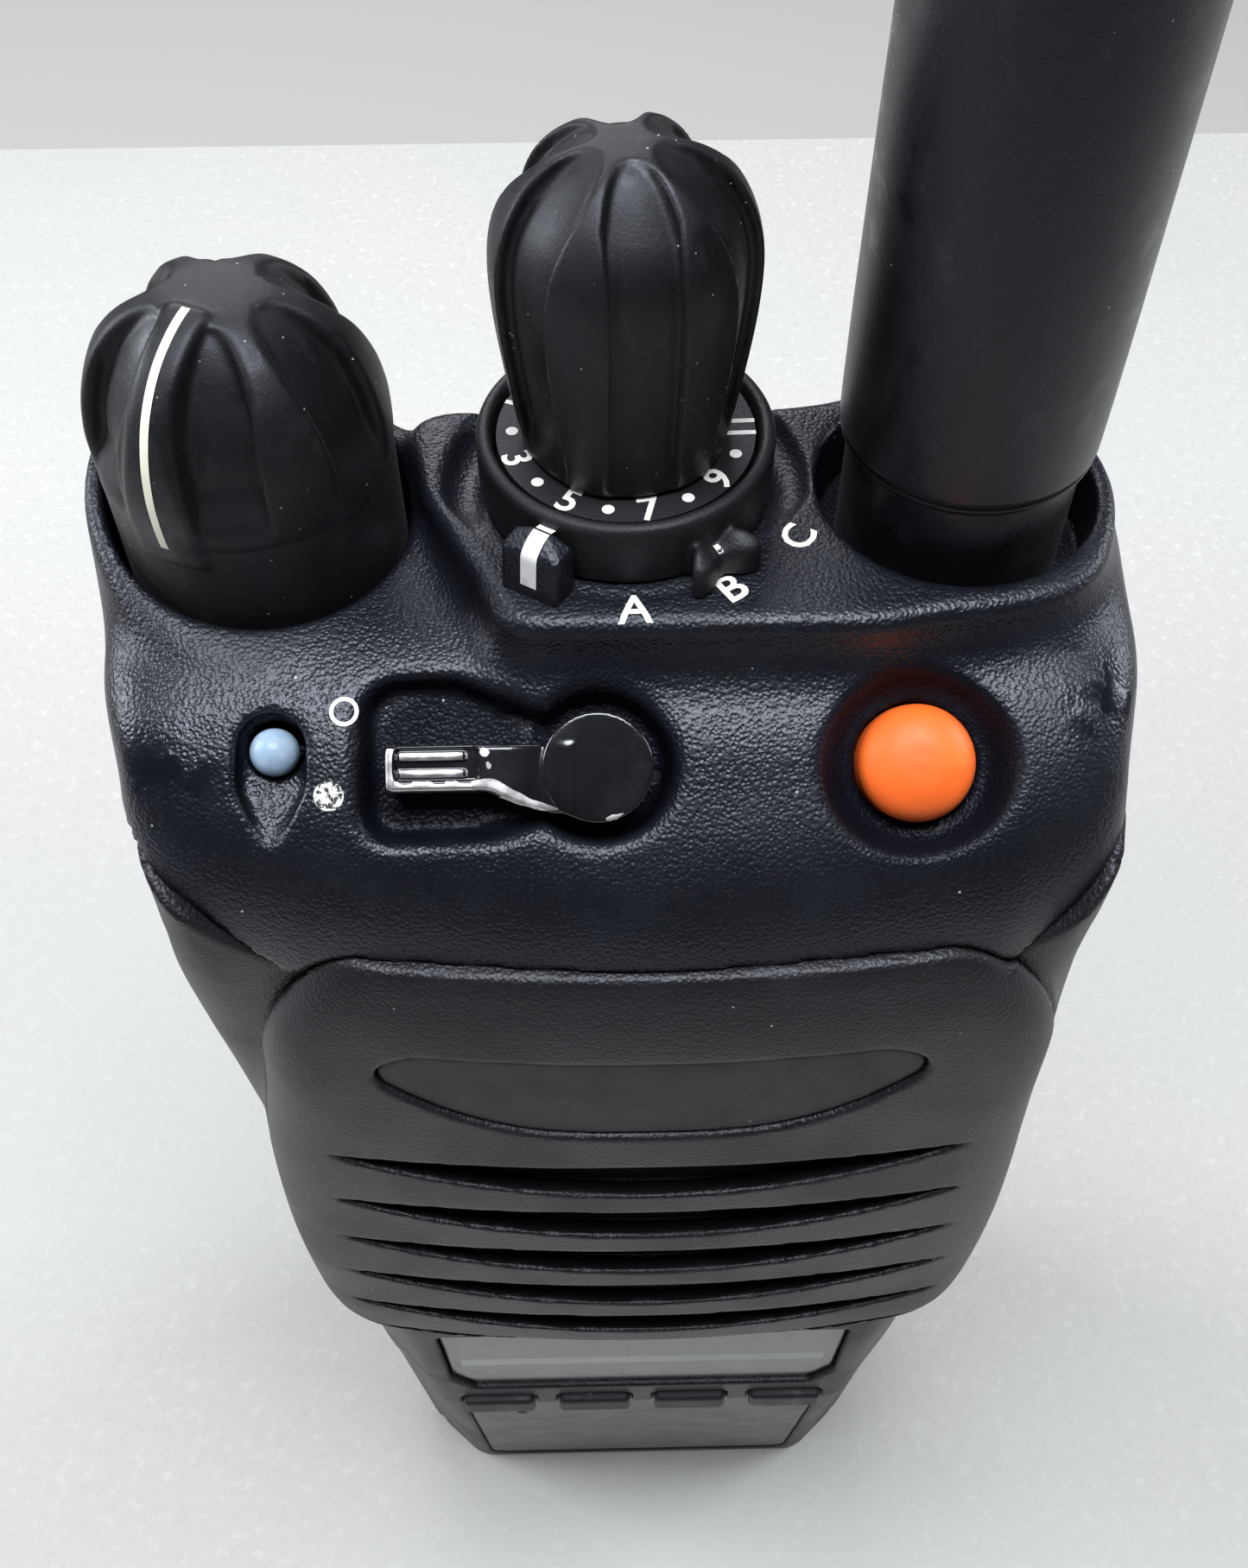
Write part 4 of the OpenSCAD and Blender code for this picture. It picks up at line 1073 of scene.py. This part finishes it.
stand_in("top_case", top_case, 0.34, "case_black")
stand_in("front_case", front_case, 0.36, "case_black", look="case_lower", grow=2.6)
stand_in("rear_case", rear_case, 0.42, "case_black", look="case_lower", grow=3.2)
stand_in("battery_case", battery, 0.5, "battery_black")
stand_in("volume_knob", volume_knob, 0.18, "knob_rubber", "volume")
stand_in("selector_knob", selector_knob, 0.16, "knob_rubber", "selector")
stand_in("ring_switch", ring_switch, 0.15, "knob_rubber", "ring", "dial_black")
stand_in("pointer_block", pointer_block, 0.11, "case_black")
stand_in("lever", lever, 0.11, "lever_gloss", "lever")
stand_in("alert_button", alert_button, 0.14, "alert_orange", "alert")
stand_in("status_lens", status_lens, 0.09, "lens_white")
stand_in("ptt_button", ptt_button, 0.3, "key_black", "ptt")
for which in ("upper", "lower"):
    stand_in("side_key_" + which, side_key("side_key_" + which), 0.22, "key_black", which + "_key")
stand_in("accessory_cover", accessory_cover, 0.3, "case_black", look="case_lower")
for i in range(4):
    stand_in("front_key_%d" % (i + 1), front_key(i), 0.2, "key_black", "key_%d" % (i + 1))
stand_in("name_plate", name_plate, 0.24, "plate_black")
stand_in("lower_panel", lower_panel, 0.4, "panel_grey")
stand_in("display_window", display_window, 0.3, "window_clear")
stand_in("speaker_mesh", speaker_mesh, 0.4, "mesh_cloth")
stand_in("battery_latch", battery_latch, 0.25, "battery_black", "latch")


# ---- Turned pieces ----

def lathe(name, profile, axis, sides=96):
    """A closed turned piece; the profile goes from the axis round to the axis again."""
    profile = np.array(profile, float)
    turns = np.arange(sides) / sides * 2 * math.pi
    inner = profile[1:-1]
    verts = [(axis[0] + r * math.cos(t), axis[1] + r * math.sin(t), z) for r, z in inner for t in turns]
    verts += [(axis[0], axis[1], profile[0][1]), (axis[0], axis[1], profile[-1][1])]
    faces = []
    rows = len(inner)
    for j in range(sides):
        k = (j + 1) % sides
        faces += [(i * sides + j, (i + 1) * sides + j, (i + 1) * sides + k, i * sides + k)
                  for i in range(rows - 1)]
        faces.append((rows * sides, j, k))
        faces.append((rows * sides + 1, (rows - 1) * sides + k, (rows - 1) * sides + j))
    return mesh_piece(name, verts, faces)


ANTENNA_FOOT = low("antenna_sleeve")[2]
ANTENNA_TIP = high("antenna_sleeve")[2]
RIM = PLATEAU + 4
SLEEVE = np.vstack([
    [(0, ANTENNA_TIP)],
    smooth_curve([(1.2, ANTENNA_TIP), (3.2, ANTENNA_TIP - 0.7), (4.5, ANTENNA_TIP - 2.4),
                  (5.1, ANTENNA_TIP - 5), (5.4, PLATEAU + 108), (5.9, PLATEAU + 92), (6.4, PLATEAU + 73),
                  (6.7, PLATEAU + 45), (6.83, PLATEAU + 27), (6.9, RIM + 8), (6.88, RIM + 1.5),
                  (6.84, RIM + 0.6)]),
    [(6.78, RIM + 0.5), (6.66, RIM + 0.44), (6.66, RIM + 0.34), (6.76, RIM + 0.26), (6.78, RIM + 0.1),
     (6.72, RIM), (6.4, RIM - 0.06), (6.35, RIM - 0.5), (6.3, ANTENNA_FOOT), (0, ANTENNA_FOOT)]])
dress(lathe("antenna_sleeve_skin", SLEEVE, ANTENNA), MATERIALS["antenna_black"], "radio", "antenna_black",
      "antenna_sleeve")


# ---- Lettering and marks ----

def letter(text, height, place):
    """One character as points and faces; place turns (across, up) millimetres into a point."""
    curve = bpy.data.curves.new("letter", "FONT")
    curve.body = text
    curve.resolution_u = 3
    curve.offset = 0.018
    maker = bpy.data.objects.new("letter", curve)
    bpy.context.scene.collection.objects.link(maker)
    bpy.context.view_layer.update()
    fine = bmesh.new()
    fine.from_mesh(maker.to_mesh())
    bmesh.ops.triangulate(fine, faces=fine.faces)
    for _ in range(2):
        longer = [e for e in fine.edges if e.calc_length() > 0.12]
        bmesh.ops.subdivide_edges(fine, edges=longer, cuts=1)
        bmesh.ops.triangulate(fine, faces=fine.faces)
    fine.verts.index_update()
    flat = np.array([v.co[:2] for v in fine.verts])
    faces = [[v.index for v in f.verts] for f in fine.faces]
    fine.free()
    bpy.data.objects.remove(maker)
    bpy.data.curves.remove(curve)
    flat -= (flat.min(0) + flat.max(0)) / 2
    flat *= height / (flat[:, 1].max() - flat[:, 1].min())
    return np.array([place(u, v) for u, v in flat]), faces


def disc(r, place, hole=0.0, sides=28):
    """A dot, or a ring when it has a hole."""
    turns = [2 * math.pi * k / sides for k in range(sides)]
    rim = [(math.cos(t), math.sin(t)) for t in turns]
    points = [place(size * c, size * s) for size in (r, hole) for c, s in rim]
    faces = [(k, (k + 1) % sides, sides + (k + 1) % sides, sides + k) for k in range(sides)]
    return np.array(points), faces


def ribbon(route, widths, sideways):
    """A strip along route, widths millimetres wide, with sideways the direction across it."""
    lanes = np.linspace(-0.5, 0.5, 5)
    points = [p + np.array(side) * w * t for p, w, side in zip(route, widths, sideways) for t in lanes]
    n = len(lanes)
    faces = [(i * n + j, (i + 1) * n + j, (i + 1) * n + j + 1, i * n + j + 1)
             for i in range(len(route) - 1) for j in range(n - 1)]
    return np.array(points), faces


def lay_on(shape, part, way, lift=0.02):
    points, faces = part
    return drop(shape, points, np.array(way, float)) + np.array(way) * lift, faces


def painted(name, parts, material, body, slot):
    """Joins flat parts into one painted piece."""
    verts, faces = [], []
    for points, polys in parts:
        faces += [[len(verts) + i for i in poly] for poly in polys]
        verts += list(points)
    return dress(mesh_piece(name, verts, faces), material, body, slot)


def dial_place(turn, r, z):
    """Lettering round the ring's axis, tops towards the axis."""
    c, s = math.cos(turn), math.sin(turn)
    return lambda u, v: (RING[0] + (r - v) * c - u * s, RING[1] + (r - v) * s + u * c, z)


DIAL_TOP = high("channel_dial")[2]
CHANNELS = 16
CHANNEL = math.radians(20.25)
FIVE_AT = math.radians(-120)
dial_print = []
for n in range(1, CHANNELS + 1):
    place = dial_place(FIVE_AT + (n - 5) * CHANNEL, 6.1, DIAL_TOP + 0.02)
    if n % 2:
        digits = str(n)
        for k, digit in enumerate(digits):
            shift = (k - (len(digits) - 1) / 2) * 0.95
            dial_print.append(letter(digit, 1.7, lambda u, v, s=shift, at=place: at(u + s, v)))
    else:
        dial_print.append(disc(0.33, place))
painted("dial_print", dial_print, PRINT, "selector", "dial_black")

case_print = []
for text, degrees, r in (("A", -88.5, 9.65), ("B", -57, 9.9), ("C", -27, 10.25)):
    part = letter(text, 1.85, dial_place(math.radians(degrees), r, PLATEAU))
    case_print.append(lay_on(top_form, part, (0, 0, 1)))
RING_MARK = onto_deck(on_deck(LEVER, -13.3, -3.13))
DOT_MARK = onto_deck(on_deck(LEVER, -14.15, 1.3))
case_print.append(lay_on(top_form, disc(0.78, lambda u, v: on_deck(RING_MARK, u, -v), 0.56), OUT))
painted("case_print", case_print, PRINT, "radio", "case_black")
worn_dot = lay_on(top_form, disc(0.8, lambda u, v: on_deck(DOT_MARK, u, -v)), OUT)
painted("worn_dot", [worn_dot], PRINT_WORN, "radio", "case_black")


# ---- Lines on the knobs ----

def compass(turn):
    """Level directions outwards and sideways at an angle."""
    c, s = math.cos(turn), math.sin(turn)
    return np.array([c, s, 0]), np.array([-s, c, 0])


def line_on_knob(axis, turn, stations, width, shape, name, material, body, slot):
    """A line down a turned knob; stations are (height, radius) from top to bottom."""
    out, side = compass(turn)
    route = smooth_curve([(0, r, z) for z, r in stations], 6)
    route = np.array([[axis[0], axis[1], 0] + out * r + [0, 0, z] for _, r, z in route])
    points, faces = ribbon(route, np.full(len(route), width), np.tile(side, (len(route), 1)))
    way = out + np.array([0, 0, 0.35])
    painted(name, [lay_on(shape, (points, faces), way / np.linalg.norm(way))], material, body, slot)


line_on_knob(VOLUME, POINTER_AT, [(152.1, 2.2), (151.6, 3.7), (150.5, 5.4), (148.8, 6.9), (146.6, 7.9),
                                  (144, 8.3), (141.5, 8.3)],
             0.48, volume_knob, "volume_pointer", POINTER_PRINT, "volume", "knob_rubber")
line_on_knob(RING, BLOCK_AT, [(BLOCK_TOP + 0.2, 8.5), (BLOCK_TOP + 0.2, 9.2), (BLOCK_TOP - 0.1, 9.8),
                              (BLOCK_TOP - 0.9, 10.3), (BLOCK_TOP - 2.4, 10.8)],
             0.95, pointer_block, "block_mark", PRINT, "radio", "case_black")
tab_out, tab_side = compass(TAB_AT)
tab_route = np.array([[RING[0], RING[1], PLATEAU + 2.5] + tab_out * r for r in (8.25, 8.5, 8.8, 9.1)])
tab_line = ribbon(tab_route, [0.3, 0.32, 0.32, 0.28], np.tile(tab_side, (4, 1)))
painted("ring_mark", [lay_on(ring_switch, tab_line, (0, 0, 1))], PRINT, "ring", "knob_rubber")


# ---- Bright trim and worn edges of the lever ----

def lever_strip(points, widths, steps):
    """A bright strip on the lever through (across, down) points."""
    line = smooth_curve([(a, s, w) for (a, s), w in zip(points, widths)], steps)
    route = np.array([on_deck(LEVER, a, s, 1.0) for a, s, _ in line])
    along = np.gradient(line[:, :2], axis=0)
    along /= np.linalg.norm(along, axis=1)[:, None]
    sideways = [on_deck(np.zeros(3), -t[1], t[0]) for t in along]
    return lay_on(lever, ribbon(route, line[:, 2], sideways), OUT, 0.03)


def ragged(count, wide, spread):
    return wide + rng.uniform(-spread, spread, count)


edge = [(-11.0, 0.85)] + [(-10.7 + 0.6 * k, 0.93) for k in range(8)]
worn = [(-6.6, 0.93), (-6.1, 0.9), (-5.6, 0.95), (-5.1, 1.15), (-4.6, 1.4), (-4.1, 1.62), (-3.6, 1.82),
        (-3.1, 1.98), (-2.6, 2.08), (-2.1, 2.15)]
chip = [(2.75 * math.cos(t), 2.75 * math.sin(t)) for t in np.radians([62, 69, 75, 82])]
bars = [([(-10.5, s), (-10.35, s), (-7.1, s), (-6.95, s)], [0.2, 0.38, 0.38, 0.2], 4)
        for s in (-0.69, 0.21)]
strips = bars + [
    (edge, ragged(len(edge), 0.62, 0.04), 4),
    ([(-10.85, -1.12), (-10.94, -0.6), (-10.94, 0.2), (-10.85, 0.95)], [0.34, 0.36, 0.36, 0.5], 5),
    (worn, [0.56, 0.72, 0.86, 0.74, 0.62, 0.6, 0.42, 0.46, 0.3, 0.1], 3),
    ([(-6.1, -1.0), (-5.9, -0.85), (-5.7, -0.95)], [0.3, 0.46, 0.2], 4),
    ([(-5.8, -0.35), (-5.7, -0.15), (-5.75, 0.0)], [0.12, 0.26, 0.1], 4),
    (chip, [0.05, 0.2, 0.34, 0.12], 5),
]
trim = [lever_strip(*strip) for strip in strips]
painted("lever_trim", trim, WORN_METAL, "lever", "lever_gloss")


# ---- Floor, light and camera ----

def table_top():
    m = Material("table_top", (0.62, 0.612, 0.60), 0.6)
    m.paint((0.53, 0.528, 0.52), m.ramp(m.noise(1.3, 4, 0.7), 0.48, 0.68, 0, 0.7))
    m.paint((0.74, 0.735, 0.725), m.ramp(m.noise(1.7, 4, 0.6), 0.55, 0.68, 0, 0.8))
    m.paint((0.57, 0.60, 0.575), m.ramp(m.noise(70, 2), 0.4, 0.7, 0, 0.6))
    # Painted shade: the table is made a little darker towards the viewer, standing in for the light falling
    # off there.
    m.paint((0.40, 0.395, 0.387), m.ramp(m.axis("Y"), 60 * MM, 170 * MM, 0.55, 0.15))
    m.bump(m.noise(0.5, 2), 0.02)
    return m.material


def wall_paint():
    m = Material("wall_paint", (0.45, 0.44, 0.432), 0.8)
    m.bump(m.noise(3, 3), 0.05)
    return m.material


def slab(name, near, far, material):
    """A level rectangle between two distances from the front."""
    corners = [(-FAR, near, 0), (FAR, near, 0), (FAR, far, 0), (-FAR, far, 0)]
    piece = mesh_piece(name, corners, [(0, 1, 2, 3)])
    piece.data.materials.append(material)


FAR = 900
BACK = 256
slab("floor", -FAR, BACK, table_top())
slab("backdrop", BACK, FAR, wall_paint())


CENTRE = (0, 0, 120)


def area_light(name, place, size, power, color):
    """A soft rectangular lamp aimed at the radio, in millimetres and watts."""
    data = bpy.data.lights.new(name, "AREA")
    data.shape = "RECTANGLE"
    data.size, data.size_y = size[0] * MM, size[1] * MM
    data.energy = power
    data.color = color
    lamp = bpy.data.objects.new(name, data)
    bpy.context.scene.collection.objects.link(lamp)
    lamp.location = Vector(place) * MM
    lamp.rotation_euler = (Vector(CENTRE) - Vector(place)).to_track_quat("-Z", "Y").to_euler()


area_light("top_light", (0, -70, 600), (330, 190), 3.4, (0.95, 0.98, 1.0))
area_light("back_light", (-120, 520, 460), (420, 200), 1.6, (0.97, 0.98, 1.0))
area_light("right_light", (470, 140, 300), (220, 220), 1.4, (0.93, 0.97, 1.0))
area_light("left_light", (-470, 80, 320), (220, 220), 2.0, (0.95, 0.98, 1.0))

world = bpy.data.worlds.new("studio")
world.use_nodes = True
sky = world.node_tree.nodes["Background"].inputs
sky["Color"].default_value = (0.93, 0.95, 1.0, 1)
sky["Strength"].default_value = 0.08
bpy.context.scene.world = world
bpy.context.scene.view_settings.view_transform = "Standard"

CAMERA_AT = (-2.40, -67.04, 201.75)
YAW, PITCH, ROLL = math.radians(-1.06), math.radians(53.37), math.radians(0.16)
ahead = Vector((-math.sin(YAW) * math.cos(PITCH), math.cos(YAW) * math.cos(PITCH), -math.sin(PITCH)))
right = Vector((math.cos(YAW), math.sin(YAW), 0))
up = -ahead.cross(right)
right, up = math.cos(ROLL) * right - math.sin(ROLL) * up, math.cos(ROLL) * up + math.sin(ROLL) * right
camera = bpy.data.objects.new("camera", bpy.data.cameras.new("camera"))
camera.data.lens = 37.67
camera.data.sensor_width = 36
camera.data.clip_start = 0.005
camera.matrix_world = (Matrix.Translation(Vector(CAMERA_AT) * MM)
                       @ Matrix((right, up, -ahead)).transposed().to_4x4())
bpy.context.scene.collection.objects.link(camera)
bpy.context.scene.camera = camera
